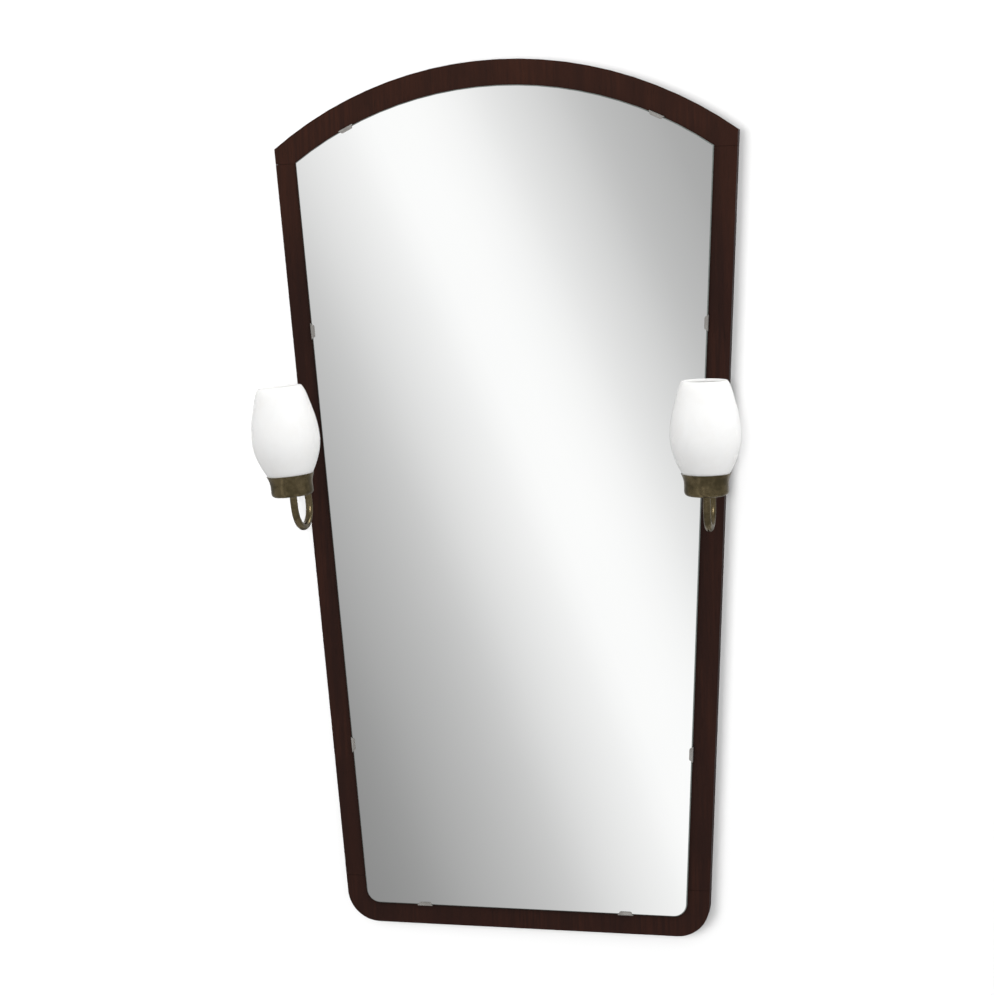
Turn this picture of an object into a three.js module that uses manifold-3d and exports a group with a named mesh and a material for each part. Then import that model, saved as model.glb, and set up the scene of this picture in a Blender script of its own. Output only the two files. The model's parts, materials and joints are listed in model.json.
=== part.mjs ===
// Wall mirror with an arched head, sides that taper to the foot, and a lamp arm on each stile.
// Millimetres, +Z up. The wall is the plane y = 0 and the glass faces -Y.
// Heights are counted from the frame's lower edge; the last lines move the origin to the wall face.
import * as THREE from "three";
import { mergeVertices } from "three/addons/utils/BufferGeometryUtils.js";
import Module from "manifold-3d";

const wasm = await Module();
wasm.setup();

// Clearances
const fitGap = 0.3;             // between faces that touch, are glued or are clamped
const swivelGap = 0.4;          // round the tail of a lamp arm, on the radius

// Outline of the frame
const overallHeight = 1100;
const archRise = 96;            // shoulders to the crown of the arched head
const shoulderHalfWidth = 290;
const footHalfWidth = 236;
const lowerCornerRadius = 42;

// Frame members, halved into each other at the four corners
const frameThickness = 20;
const stileWidth = 62;
const headWidth = 66;
const railWidth = 62;
const shoulderJointDrop = 1.5;  // joint line below the top corner of the glass

// Back panel in its rebate
const rebateWidth = 10;
const panelSetBack = 2.5;       // wall to the rear face of the panel
const panelThickness = 4;

// Glass, laid on the front of the frame
const sideBorder = 27.5;        // wood that shows beside the glass
const headBorder = 31;
const railBorder = 27.5;
const glassThickness = 5;
const glassArris = 1.2;
const glassCornerRadius = 18;

// Glass clips, bent from strip
const clipWidth = 20;
const clipTipWidth = 16.5;
const clipTipRadius = 2.5;
const clipThickness = 1;
const clipReach = 6;            // over the face of the glass
const clipFoot = 22;            // under the glass
const clipBend = 1.6;           // outer radius of a bend
const clipScrewInset = 13;      // edge of the glass to the clip's screw
const archClipAngle = 25.2;     // degrees either side of the crown
const upperClipDrop = 228;      // below the shoulders
const lowerClipHeight = 240;
const railClipOffset = 132;     // either side of the centre line

// Wood screws with thin heads
const screwHeadRadius = 3.8;
const screwHeadHeight = 1;
const screwShankRadius = 1.6;
const screwLength = 11;
const screwSlotWidth = 0.8;
const screwSlotDepth = 0.45;
const panelScrewLength = 10;
const upperPanelScrewDrop = 204;  // below the shoulders
const lowerPanelScrewHeight = 260;

// Hanging plates, let into the backs of the stiles
const plateDrop = 79;           // shoulders to the middle of a plate
const plateWidth = 20;
const plateLength = 66;
const plateThickness = 2;
const plateScrewSpacing = 50;
const plateScrewHeadRadius = 3.4;
const keyholeRadius = 5;
const keyholeSlotWidth = 5;
const keyholeRise = 12;         // centre of the round hole to the top of the slot's run
const keyholePocketDepth = 8;   // room for the wall screw's head, below the plate

// Lamp arms
const tailHeight = 648;         // axis of the tail, on the middle of the wood that shows
const leftArmTilt = -4.6;       // degrees from upright, the lamp leaning outwards
const tubeRadius = 4.5;
const boreRadius = 3;
const turnedRadius = 4;         // end of the tube, turned down inside the cup
const standOff = 47;            // front of the frame to the rear leg
const legSpacing = 55;          // rear leg to front leg
const tailBendRadius = 20;
const bendDrop = 15.5;          // underside of the cup to the centre of the lower bend
const cupDrop = 67.5;           // axis of the tail to the underside of the cup
const tubeSides = 14;
const tubeSteps = 30;

// Fixing of the tail
const rosetteRadius = 9;
const rosetteFlange = 2;
const rosetteHeight = 5;
const rosetteNeck = 6.5;
const pocketRadius = 13;
const pocketDepth = 11;
const tailEndDepth = 4.4;       // wall to the end of the tail
const washerRadius = 10;
const washerThickness = 1.2;
const nutAcrossFlats = 14;
const tailNutHeight = 4;
const cupNutHeight = 3;

// Cup
const cupRadius = 26;
const cupLipRadius = 29.4;
const cupHeight = 26.3;
const cupWall = 1;
const cupBottomRadius = 5;
const cupFlareStart = 13;
const flareSteps = 3;

// Lampholder and bulb
const holderRadius = 13.5;
const holderSleeveRadius = 12.6;
const holderSkirtHeight = 20;
const holderHeight = 54;        // above the underside of the cup
const holderBore = 7.6;
const holderFloorHeight = 28;
const holderFloorThickness = 11;
const tubeEndHeight = 15;       // turned end of the tube, above the underside of the cup
const capRadius = 6.9;
const capHeight = 25.5;
const capWall = 0.7;
const capTaper = 4;             // height of the cone down to the contact
const capContactRadius = 2.6;
const capRecess = 6;
const capRest = 1;              // contact to the floor of the holder's bore, besides the fit
const bulbRadius = 17.5;
const bulbSteps = 9;
const bulbHeight = 50;          // glass above its cap
const bulbLine = [[0.66, 0.19], [1, 0.47], [0.82, 0.74], [0.38, 0.94], [0, 1]];  // parts of radius and height

// Shade
const shadeHeight = 134.5;      // rim above the underside of the cup
const shadeRadius = 41.6;
const shadeWall = 3;
const shadeLine = [[0.832, 0.295], [0.954, 0.41], [1, 0.53], [0.978, 0.665], [0.905, 0.785], [0.783, 0.93],
  [0.672, 0.99]];               // parts of radius and height, above the cup
const shadeSteps = 8;
const shadeNeckHeight = 7;      // bottom of the neck, above the underside of the cup
const shadeSeatGap = 0.35;      // shade to the flare of the cup

// Terminal block, grommet and the two internal leads
const blockHeight = 632;
const blockLength = 30;
const blockWidth = 16;
const blockDepth = 12;
const blockWireRadius = 2;
const blockWireSpacing = 8;
const blockScrewHoleRadius = 2;
const grommetDrop = 45;         // terminal block to the grommet
const grommetHoleRadius = 6;
const grommetFlangeRadius = 9;
const grommetFlange = 1.6;
const grommetBore = 3.6;
const blockSinkDepth = 8;       // for the head of the block's screw
const leadRadius = 1.2;
const leadSides = 6;
const leadSteps = 3;            // between two points of its route
const leadGrooveWidth = 6;
const leadBend = 4;             // from the tail's axis to where the lead runs nearest to the wall
const leadDip = 2.6;            // end of the tail to that nearest run
const leadSag = 6;              // between the stile and the terminal block

// Facets: half the sides of an arc in a flat shape, and the sides of a turned shape
const archFacets = 11;
const cornerFacets = 6;
const bendFacets = 2;
const cupCornerSteps = 3;
const shadeSides = 32;
const cupSides = 30;
const turnedSides = 18;
const screwSides = 10;
const holeSides = 16;
const nutSides = 6;

// Values that follow from the sizes above
const shoulderHeight = overallHeight - archRise;
const plateHeight = shoulderHeight - plateDrop;
const upperClipHeight = shoulderHeight - upperClipDrop;
const upperPanelScrewHeight = shoulderHeight - upperPanelScrewDrop;
const slope = (shoulderHalfWidth - footHalfWidth) / shoulderHeight;
const leanAngle = Math.atan(slope);
const archRadius = (shoulderHalfWidth ** 2 + archRise ** 2) / (2 * archRise);
const archCentre = overallHeight - archRadius;
const rebateDepth = panelSetBack + panelThickness + fitGap;
const glassRear = frameThickness + fitGap;
const glassFront = glassRear + glassThickness;
const housingDepth = 2 * fitGap + clipThickness + screwHeadHeight + fitGap;
const cutOver = 1;              // how far a cutting tool runs past the face it opens

// Right-hand side line of the frame at a height, moved inwards by an inset
const sideX = (z, inset) => footHalfWidth + slope * z - inset / Math.cos(leanAngle);

// Corner where an inset side line meets an inset arch
function shoulder(sideInset, headInset) {
  const start = footHalfWidth - sideInset / Math.cos(leanAngle);
  const radius = archRadius - headInset;
  const quadratic = 1 + slope ** 2;
  const linear = start * slope - archCentre;
  const constant = start ** 2 + archCentre ** 2 - radius ** 2;
  const z = (Math.sqrt(linear ** 2 - quadratic * constant) - linear) / quadratic;
  return { x: start + slope * z, z };
}

// The mirror's outline, moved inwards: tapered sides, arched head, rounded lower corners
function outline(sideInset, headInset, railInset, cornerRadius) {
  const top = shoulder(sideInset, headInset);
  const sweepStart = Math.atan2(top.z - archCentre, top.x);
  const shape = new THREE.Shape();
  const cornerZ = railInset + cornerRadius;
  const cornerX = sideX(cornerZ, sideInset + cornerRadius);
  if (cornerRadius > 0) {
    shape.absarc(cornerX, cornerZ, cornerRadius, -Math.PI / 2, -leanAngle, false);
  } else {
    shape.moveTo(cornerX, cornerZ);
  }
  shape.lineTo(top.x, top.z);
  shape.absarc(0, archCentre, archRadius - headInset, sweepStart, Math.PI - sweepStart, false);
  if (cornerRadius > 0) {
    shape.absarc(-cornerX, cornerZ, cornerRadius, Math.PI + leanAngle, 1.5 * Math.PI, false);
  } else {
    shape.lineTo(-cornerX, cornerZ);
  }
  shape.closePath();
  return shape;
}

function polygon(points) {
  return new THREE.Shape(points.map(([x, z]) => new THREE.Vector2(x, z)));
}

function rectangle(left, bottom, right, top) {
  return polygon([[left, bottom], [right, bottom], [right, top], [left, top]]);
}

function disc(radius, x = 0, z = 0) {
  const shape = new THREE.Shape();
  shape.absarc(x, z, radius, 0, 2 * Math.PI, false);
  return shape;
}

// A flat shape in X and Z, given thickness between two distances from the wall
function slab(shape, rear, front, segments = cornerFacets) {
  const geometry = new THREE.ExtrudeGeometry(shape, {
    depth: front - rear,
    curveSegments: segments,
    bevelEnabled: false,
  });
  geometry.rotateX(Math.PI / 2);
  geometry.translate(0, -rear, 0);
  return geometry;
}

// A turned shape: pairs of radius and height, revolved about the Z axis
function turned(profile, segments = cupSides) {
  const points = profile.map(([r, z]) => new THREE.Vector2(r, z));
  points.push(points[0].clone());
  const geometry = new THREE.LatheGeometry(points, segments);
  geometry.rotateX(Math.PI / 2);
  return geometry;
}

// The same with its axis along Y, heights becoming distances in front of the wall
function turnedForward(profile, segments) {
  const geometry = turned(profile, segments);
  geometry.rotateX(Math.PI / 2);
  return geometry;
}

function drill(radius, rear, front, x, z) {
  return solid(slab(disc(radius, x, z), rear, front, holeSides / 2));
}

// A closed solid from a geometry whose seams are merged
function solid(geometry) {
  const bare = new THREE.BufferGeometry();
  bare.setAttribute("position", geometry.getAttribute("position"));
  bare.setIndex(geometry.index);
  const merged = mergeVertices(bare, 1e-4);
  const corners = merged.index.array;
  const kept = [];
  for (let i = 0; i < corners.length; i += 3) {
    const [a, b, c] = [corners[i], corners[i + 1], corners[i + 2]];
    if (a !== b && b !== c && c !== a) {
      kept.push(a, b, c);
    }
  }
  return new wasm.Manifold(new wasm.Mesh({
    numProp: 3,
    vertProperties: Float32Array.from(merged.getAttribute("position").array),
    triVerts: Uint32Array.from(kept),
  }));
}

const cut = (body, tools) => tools.reduce((rest, tool) => rest.subtract(tool), body);

function piece(parent, name, body, material) {
  const mesh = body.getMesh();
  const geometry = new THREE.BufferGeometry();
  geometry.setAttribute("position", new THREE.BufferAttribute(mesh.vertProperties, 3));
  geometry.setIndex(new THREE.BufferAttribute(mesh.triVerts, 1));
  const part = new THREE.Mesh(geometry, material);
  part.geometry.computeVertexNormals();
  part.name = name;
  parent.add(part);
  return part;
}

const finish = (color, roughness, metalness) => new THREE.MeshStandardMaterial({ color, roughness, metalness });
const mahogany = () => finish(0x38241b, 0.45, 0);
const plywood = () => finish(0xb08a5c, 0.75, 0);
const silvered = () => finish(0xd8dadb, 0.03, 1);
const nickel = () => finish(0xa6a29b, 0.3, 1);
const steel = () => finish(0x9a9c9e, 0.4, 1);
const agedBrass = () => finish(0x5f5440, 0.38, 0.9);
const brightBrass = () => finish(0xa98b4c, 0.35, 0.95);
const opal = () => finish(0xf4f3ef, 0.2, 0);
const bulbGlass = () => finish(0xf2f0ea, 0.35, 0);
const bakelite = () => finish(0x241d19, 0.4, 0);
const porcelain = () => finish(0xe6e2d8, 0.35, 0);
const rubber = () => finish(0x2b2b2b, 0.8, 0);
const leadSheath = () => finish(0xc9c2b4, 0.6, 0);

// Where each clip sits: a point on the edge of the glass and the direction inwards
function clipSeats() {
  const seats = [];
  const seat = (name, x, z, inwardX, inwardZ) => seats.push({ name, x, z, turn: Math.atan2(-inwardZ, inwardX) });
  for (const [side, sign] of [["left", -1], ["right", 1]]) {
    const angle = THREE.MathUtils.degToRad(archClipAngle);
    const radius = archRadius - headBorder;
    seat(`${side}_arch`, sign * radius * Math.sin(angle), archCentre + radius * Math.cos(angle),
      -sign * Math.sin(angle), -Math.cos(angle));
    for (const [level, height] of [["upper", upperClipHeight], ["lower", lowerClipHeight]]) {
      seat(`${side}_${level}`, sign * sideX(height, sideBorder), height,
        -sign * Math.cos(leanAngle), Math.sin(leanAngle));
    }
    seat(`${side}_rail`, sign * railClipOffset, railBorder, 0, 1);
  }
  return seats;
}

// Puts a geometry drawn at the edge of the glass, X inwards and Y from the frame's front, on a seat
function atSeat(geometry, seat) {
  const place = new THREE.Matrix4().makeRotationY(seat.turn);
  place.setPosition(seat.x, -frameThickness, seat.z);
  return solid(geometry.clone().applyMatrix4(place));
}

// Recess for the clip's foot and riser, with the pilot hole of its screw
function clipHousing() {
  const recess = slab(rectangle(-clipThickness - 2 * fitGap, -clipWidth / 2 - fitGap,
    clipFoot + fitGap, clipWidth / 2 + fitGap), -housingDepth, cutOver);
  const pilot = slab(disc(screwShankRadius + fitGap, clipScrewInset, 0),
    -housingDepth - screwLength - fitGap, -housingDepth + cutOver, screwSides / 2);
  return [recess, pilot];
}

// Strip bent round the edge of the glass: foot below, riser, and a tapered lip over the face
function clipSolid() {
  const outside = -fitGap - clipThickness;
  const inside = -fitGap;
  const footRear = -housingDepth + fitGap;
  const footFront = footRear + clipThickness;
  const lipRear = glassFront - frameThickness + fitGap;
  const lipFront = lipRear + clipThickness;
  const innerBend = clipBend - clipThickness;
  const section = new THREE.Shape();
  section.moveTo(clipFoot, footRear);
  section.absarc(outside + clipBend, footRear + clipBend, clipBend, 1.5 * Math.PI, Math.PI, true);
  section.absarc(outside + clipBend, lipFront - clipBend, clipBend, Math.PI, Math.PI / 2, true);
  section.lineTo(clipReach, lipFront);
  section.lineTo(clipReach, lipRear);
  section.absarc(inside + innerBend, lipRear - innerBend, innerBend, Math.PI / 2, Math.PI, false);
  section.absarc(inside + innerBend, footFront + innerBend, innerBend, Math.PI, 1.5 * Math.PI, false);
  section.lineTo(clipFoot, footFront);
  section.closePath();
  const strip = new THREE.ExtrudeGeometry(section, { depth: clipWidth, curveSegments: bendFacets, bevelEnabled: false });
  strip.translate(0, 0, -clipWidth / 2);
  strip.rotateX(Math.PI);

  const halfTip = clipTipWidth / 2;
  const plan = new THREE.Shape();
  plan.moveTo(outside - cutOver, -clipWidth / 2);
  plan.lineTo(0, -clipWidth / 2);
  plan.lineTo(clipReach - clipTipRadius, -halfTip);
  plan.absarc(clipReach - clipTipRadius, clipTipRadius - halfTip, clipTipRadius, -Math.PI / 2, 0, false);
  plan.absarc(clipReach - clipTipRadius, halfTip - clipTipRadius, clipTipRadius, 0, Math.PI / 2, false);
  plan.lineTo(0, clipWidth / 2);
  plan.lineTo(outside - cutOver, clipWidth / 2);
  plan.closePath();
  const lipRange = solid(slab(plan, lipRear - clipThickness, lipFront + cutOver, bendFacets));
  const footRange = solid(slab(rectangle(outside - cutOver, -clipWidth, clipFoot + cutOver, clipWidth),
    footRear - cutOver, lipRear - clipThickness));
  const screwHole = drill(screwShankRadius + fitGap, footRear - cutOver, footFront + cutOver, clipScrewInset, 0);
  return solid(strip).intersect(lipRange.add(footRange)).subtract(screwHole);
}

// Wood screw with its point at the far end: head on z = 0, shank downwards, slotted
function screwSolid(headRadius, headHeight, length, coneHeight = 0) {
  const shank = [[0, -length], [screwShankRadius, -length + 2 * screwShankRadius]];
  const profile = coneHeight > 0
    ? [...shank, [screwShankRadius, -coneHeight], [headRadius, 0], [0, 0]]
    : [...shank, [screwShankRadius, 0], [headRadius, 0], [headRadius, headHeight], [0, headHeight]];
  const slot = new THREE.BoxGeometry(2 * headRadius + cutOver, screwSlotWidth, 2 * screwSlotDepth);
  slot.translate(0, 0, coneHeight > 0 ? 0 : headHeight);
  return solid(turned(profile, screwSides)).subtract(solid(slot));
}

function hexNut(height, bore) {
  const cornerRadius = nutAcrossFlats / 2 / Math.cos(Math.PI / nutSides);
  const nut = polygon(Array.from({ length: nutSides }, (_, corner) => {
    const angle = (corner / nutSides) * 2 * Math.PI;
    return [cornerRadius * Math.cos(angle), cornerRadius * Math.sin(angle)];
  }));
  nut.holes.push(disc(bore));
  return new THREE.ExtrudeGeometry(nut, { depth: height, curveSegments: holeSides / 2, bevelEnabled: false });
}

const mirror = new THREE.Group();
const frame = new THREE.Group();
mirror.add(frame);

// Frame members. The head and the rail cover the front of each corner, the stiles run behind them.
const tailX = sideX(tailHeight, sideBorder / 2);
const jointHeight = shoulder(sideBorder, headBorder).z - shoulderJointDrop;
const halfThickness = frameThickness / 2;
const beyond = overallHeight;
const ring = solid(slab(outline(0, 0, 0, lowerCornerRadius), 0, frameThickness, archFacets))
  .subtract(solid(slab(outline(stileWidth, headWidth, railWidth, 0), -cutOver, frameThickness + cutOver, archFacets)))
  .subtract(solid(slab(outline(stileWidth - rebateWidth, headWidth - rebateWidth, railWidth - rebateWidth, 0),
    -cutOver, rebateDepth, archFacets)));

// The strip of a stile, from below the foot to above the head, moved outwards by a gap
function stileStrip(sign, gap, rear, front) {
  const inner = stileWidth - gap;
  const strip = polygon([[sideX(-beyond, inner), -beyond], [beyond, -beyond],
    [beyond, 2 * beyond], [sideX(2 * beyond, inner), 2 * beyond]]);
  const geometry = slab(strip, rear, front);
  return sign > 0 ? solid(geometry) : solid(geometry.rotateZ(Math.PI).translate(0, -rear - front, 0));
}

const band = (bottom, top, rear, front) => solid(slab(rectangle(-beyond, bottom, beyond, top), rear, front));

const rearOfLap = halfThickness - fitGap / 2;
const frontOfLap = halfThickness + fitGap / 2;
const lapSpaces = [-1, 1].map((sign) => stileStrip(sign, -fitGap, -cutOver, frontOfLap));
const seats = clipSeats();
const housings = seats.flatMap((seat) => clipHousing().map((geometry) => atSeat(geometry, seat)));

// Pilot holes of the screws that hold the back panel
const panelScrewInset = rebateWidth / 2;
const panelScrewSpots = [];
for (const sign of [-1, 1]) {
  const side = sign < 0 ? "left" : "right";
  for (const [level, height] of [["upper", upperPanelScrewHeight], ["lower", lowerPanelScrewHeight]]) {
    panelScrewSpots.push({ name: `${side}_${level}`, x: sign * sideX(height, stileWidth - panelScrewInset), z: height });
  }
}
panelScrewSpots.push({ name: "head", x: 0, z: overallHeight - headWidth + panelScrewInset });
panelScrewSpots.push({ name: "rail", x: 0, z: railWidth - panelScrewInset });
const pilotHoles = panelScrewSpots.map(({ x, z }) => drill(screwShankRadius + fitGap,
  rebateDepth - cutOver, panelSetBack + panelScrewLength + fitGap, x, z));

const woodCuts = [...housings, ...pilotHoles];
const head = cut(ring.intersect(band(jointHeight + fitGap, 2 * beyond, -cutOver, frameThickness + cutOver)),
  [...lapSpaces, ...woodCuts]);
const rail = cut(ring.intersect(band(-beyond, railWidth - fitGap, -cutOver, frameThickness + cutOver)),
  [...lapSpaces, ...woodCuts]);
piece(frame, "head_rail", head, mahogany());
piece(frame, "bottom_rail", rail, mahogany());

// Keyhole outline, the round hole at the bottom and the slot rising from it
function keyhole(radius, slotWidth, rise) {
  const shape = new THREE.Shape();
  const meet = Math.asin(slotWidth / 2 / radius);
  shape.absarc(0, 0, radius, Math.PI / 2 + meet, 2.5 * Math.PI - meet, false);
  shape.absarc(0, rise, slotWidth / 2, 0, Math.PI, false);
  shape.closePath();
  return shape;
}

const plateX = sideX(plateHeight, (stileWidth - rebateWidth) / 2);
const plateScrewOffsets = [-plateScrewSpacing / 2, plateScrewSpacing / 2];
const plateScrewLength = frameThickness - plateThickness * 2;

// What is cut out of the back of a stile: plate recess, head pocket, tail pocket and lead groove
function stileCuts(sign) {
  const plateRecess = slab(rectangle(-plateWidth / 2 - fitGap, -plateLength / 2 - fitGap,
    plateWidth / 2 + fitGap, plateLength / 2 + fitGap), -cutOver, plateThickness + fitGap);
  const headPocket = slab(keyhole(keyholeRadius + 1, 2 * keyholeRadius, keyholeRise),
    -cutOver, plateThickness + keyholePocketDepth);
  const plateCuts = [plateRecess, headPocket].map((geometry) =>
    solid(geometry.translate(sign * plateX, 0, plateHeight)));
  const plateScrewHoles = plateScrewOffsets.map((offset) => drill(screwShankRadius + fitGap,
    plateThickness, plateThickness + plateScrewLength, sign * plateX, plateHeight + offset));
  const tailHole = drill(tubeRadius + swivelGap, -cutOver, frameThickness + cutOver, sign * tailX, tailHeight);
  const tailPocket = drill(pocketRadius, -cutOver, pocketDepth, sign * tailX, tailHeight);
  const grooveEnd = tailX - pocketRadius - stileWidth;
  const groove = slab(rectangle(Math.min(sign * tailX, sign * grooveEnd), tailHeight - leadGrooveWidth / 2,
    Math.max(sign * tailX, sign * grooveEnd), tailHeight + leadGrooveWidth / 2), -cutOver, pocketDepth);
  return [...plateCuts, ...plateScrewHoles, tailHole, tailPocket, solid(groove)];
}

for (const [side, sign] of [["left", -1], ["right", 1]]) {
  const lapped = stileStrip(sign, 0, -cutOver, rearOfLap);
  const full = stileStrip(sign, 0, -cutOver, frameThickness + cutOver)
    .intersect(band(railWidth, jointHeight, -cutOver, frameThickness + cutOver));
  const stile = cut(ring.intersect(lapped.add(full)), [...stileCuts(sign), ...woodCuts]);
  piece(frame, `${side}_stile`, stile, mahogany());
}

// Back panel, with the hole for the grommet and the holes of its screws
const grommetHeight = blockHeight - grommetDrop;
const panelEdge = rebateWidth - fitGap;
const panel = cut(
  solid(slab(outline(stileWidth - panelEdge, headWidth - panelEdge, railWidth - panelEdge, 0),
    panelSetBack, panelSetBack + panelThickness, archFacets)),
  [
    drill(grommetHoleRadius, 0, rebateDepth + cutOver, 0, grommetHeight),
    drill(screwShankRadius + fitGap, 0, rebateDepth + cutOver, 0, blockHeight),
    ...panelScrewSpots.map(({ x, z }) => drill(screwShankRadius + fitGap, 0, rebateDepth + cutOver, x, z)),
  ],
);
piece(frame, "back_panel", panel, plywood());
for (const { name, x, z } of panelScrewSpots) {
  const screw = piece(frame, `${name}_panel_screw`, screwSolid(screwHeadRadius, screwHeadHeight, panelScrewLength), steel());
  screw.position.set(x, fitGap - panelSetBack, z);
  screw.rotation.x = -Math.PI / 2;
}

// Glass with an arris round both faces
const glassShape = outline(sideBorder, headBorder, railBorder, glassCornerRadius);
const glass = new THREE.ExtrudeGeometry(glassShape, {
  depth: glassThickness - 2 * glassArris,
  curveSegments: archFacets,
  bevelThickness: glassArris,
  bevelSize: glassArris,
  bevelOffset: -glassArris,
  bevelSegments: 1,
});
glass.rotateX(Math.PI / 2);
glass.translate(0, -glassRear - glassArris, 0);
piece(frame, "mirror_glass", solid(glass), silvered());

// Clips and their screws
const clip = clipSolid();
const clipScrew = screwSolid(screwHeadRadius, screwHeadHeight, screwLength);
for (const seat of seats) {
  const place = new THREE.Group();
  place.position.set(seat.x, -frameThickness, seat.z);
  place.rotation.y = seat.turn;
  frame.add(place);
  piece(place, `${seat.name}_clip`, clip, nickel());
  const screw = piece(place, `${seat.name}_clip_screw`, clipScrew, steel());
  screw.position.set(clipScrewInset, housingDepth - fitGap - clipThickness - fitGap, 0);
  screw.rotation.x = Math.PI / 2;
}

// Hanging plates with countersunk screws
for (const [side, sign] of [["left", -1], ["right", 1]]) {
  const place = new THREE.Group();
  place.position.set(sign * plateX, 0, plateHeight);
  frame.add(place);
  const face = rectangle(-plateWidth / 2, -plateLength / 2, plateWidth / 2, plateLength / 2);
  const opening = solid(slab(keyhole(keyholeRadius, keyholeSlotWidth, keyholeRise), -cutOver, plateThickness + cutOver));
  const sinkRadius = plateScrewHeadRadius + fitGap;
  const sinks = plateScrewOffsets.map((offset) => solid(turnedForward([[0, -cutOver], [sinkRadius, -cutOver],
    [sinkRadius, 0], [screwShankRadius + fitGap, plateThickness], [screwShankRadius + fitGap, plateThickness + cutOver],
    [0, plateThickness + cutOver]], holeSides).translate(0, 0, offset)));
  piece(place, `${side}_hanging_plate`, cut(solid(slab(face, 0, plateThickness)), [opening, ...sinks]), steel());
  plateScrewOffsets.forEach((offset, index) => {
    const level = index === 0 ? "lower" : "upper";
    const screw = piece(place, `${side}_plate_${level}_screw`,
      screwSolid(plateScrewHeadRadius, 0, plateScrewLength, plateThickness - fitGap), steel());
    screw.position.set(0, -fitGap / 2, offset);
    screw.rotation.x = -Math.PI / 2;
  });
}

// Terminal block on the inside of the panel, its screw, and the grommet below it
const panelFront = panelSetBack + panelThickness;
const blockRear = panelFront + fitGap;
const wireDepth = blockRear + blockDepth / 2;
const wireOffsets = [-blockWireSpacing / 2, blockWireSpacing / 2];
const blockBody = solid(slab(rectangle(-blockLength / 2, blockHeight - blockWidth / 2,
  blockLength / 2, blockHeight + blockWidth / 2), blockRear, blockRear + blockDepth));
const wireWays = wireOffsets.map((offset) => {
  const way = turned([[0, -blockLength], [blockWireRadius, -blockLength], [blockWireRadius, blockLength],
    [0, blockLength]], screwSides);
  way.rotateY(Math.PI / 2);
  return solid(way.translate(0, -wireDepth, blockHeight + offset));
});
const clampWells = wireOffsets.flatMap((offset) => [-1, 1].map((sign) => drill(blockWireRadius,
  wireDepth, blockRear + blockDepth + cutOver, (sign * blockLength) / 3, blockHeight + offset)));
const sinkFloor = blockRear + blockDepth - blockSinkDepth;
const screwSink = drill(screwHeadRadius + fitGap, sinkFloor, blockRear + blockDepth + cutOver, 0, blockHeight);
const screwWay = drill(blockScrewHoleRadius, 0, blockRear + blockDepth, 0, blockHeight);
piece(frame, "terminal_block", cut(blockBody, [...wireWays, ...clampWells, screwSink, screwWay]), porcelain());
const blockScrewLength = sinkFloor - panelSetBack - fitGap;
const blockScrew = piece(frame, "terminal_block_screw",
  screwSolid(screwHeadRadius, screwHeadHeight, blockScrewLength), steel());
blockScrew.position.set(0, -sinkFloor - fitGap, blockHeight);
blockScrew.rotation.x = Math.PI / 2;
const grooveRadius = grommetHoleRadius - fitGap;
const grommet = turnedForward([[grommetBore, panelSetBack - grommetFlange - fitGap],
  [grommetFlangeRadius, panelSetBack - grommetFlange - fitGap], [grommetFlangeRadius, panelSetBack - fitGap],
  [grooveRadius, panelSetBack - fitGap], [grooveRadius, panelFront + fitGap],
  [grommetFlangeRadius, panelFront + fitGap], [grommetFlangeRadius, panelFront + fitGap + grommetFlange],
  [grommetBore, panelFront + fitGap + grommetFlange]], holeSides);
piece(frame, "cable_grommet", solid(grommet).translate(0, 0, grommetHeight), rubber());

// Route of a bent tube, drawn flat with X forwards and Y up, and used in the plane x = 0
class ArmRoute extends THREE.Curve {
  constructor(path) {
    super();
    this.path = path;
  }

  getPoint(t, target = new THREE.Vector3()) {
    const { x, y } = this.path.getPointAt(t);
    return target.set(0, -x, y);
  }
}

function tube(route, outerRadius, innerRadius, sides, steps) {
  const ringShape = disc(outerRadius);
  if (innerRadius > 0) {
    ringShape.holes.push(disc(innerRadius));
  }
  return solid(new THREE.ExtrudeGeometry(ringShape, {
    steps,
    curveSegments: sides / 2,
    extrudePath: route,
    bevelEnabled: false,
  }));
}

// One lamp arm, drawn with the axis of its tail through the origin and the front of the frame at y = 0
const legFront = standOff + legSpacing;
const lowerBend = legSpacing / 2;
const lowerBendZ = -cupDrop - bendDrop;
const armPath = new THREE.Path();
armPath.moveTo(tailEndDepth - frameThickness, 0);
armPath.lineTo(standOff - tailBendRadius, 0);
armPath.absarc(standOff - tailBendRadius, -tailBendRadius, tailBendRadius, Math.PI / 2, 0, true);
armPath.lineTo(standOff, lowerBendZ);
armPath.absarc(standOff + lowerBend, lowerBendZ, lowerBend, Math.PI, 2 * Math.PI, false);
armPath.lineTo(legFront, tubeEndHeight - cupDrop);
const shoulderZ = -cupDrop - fitGap;
const turnedEnd = turned([[turnedRadius, shoulderZ], [2 * tubeRadius, shoulderZ],
  [2 * tubeRadius, tubeEndHeight], [turnedRadius, tubeEndHeight]], holeSides).translate(0, -legFront, 0);
const armTube = tube(new ArmRoute(armPath), tubeRadius, boreRadius, tubeSides, tubeSteps).subtract(solid(turnedEnd));

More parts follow.
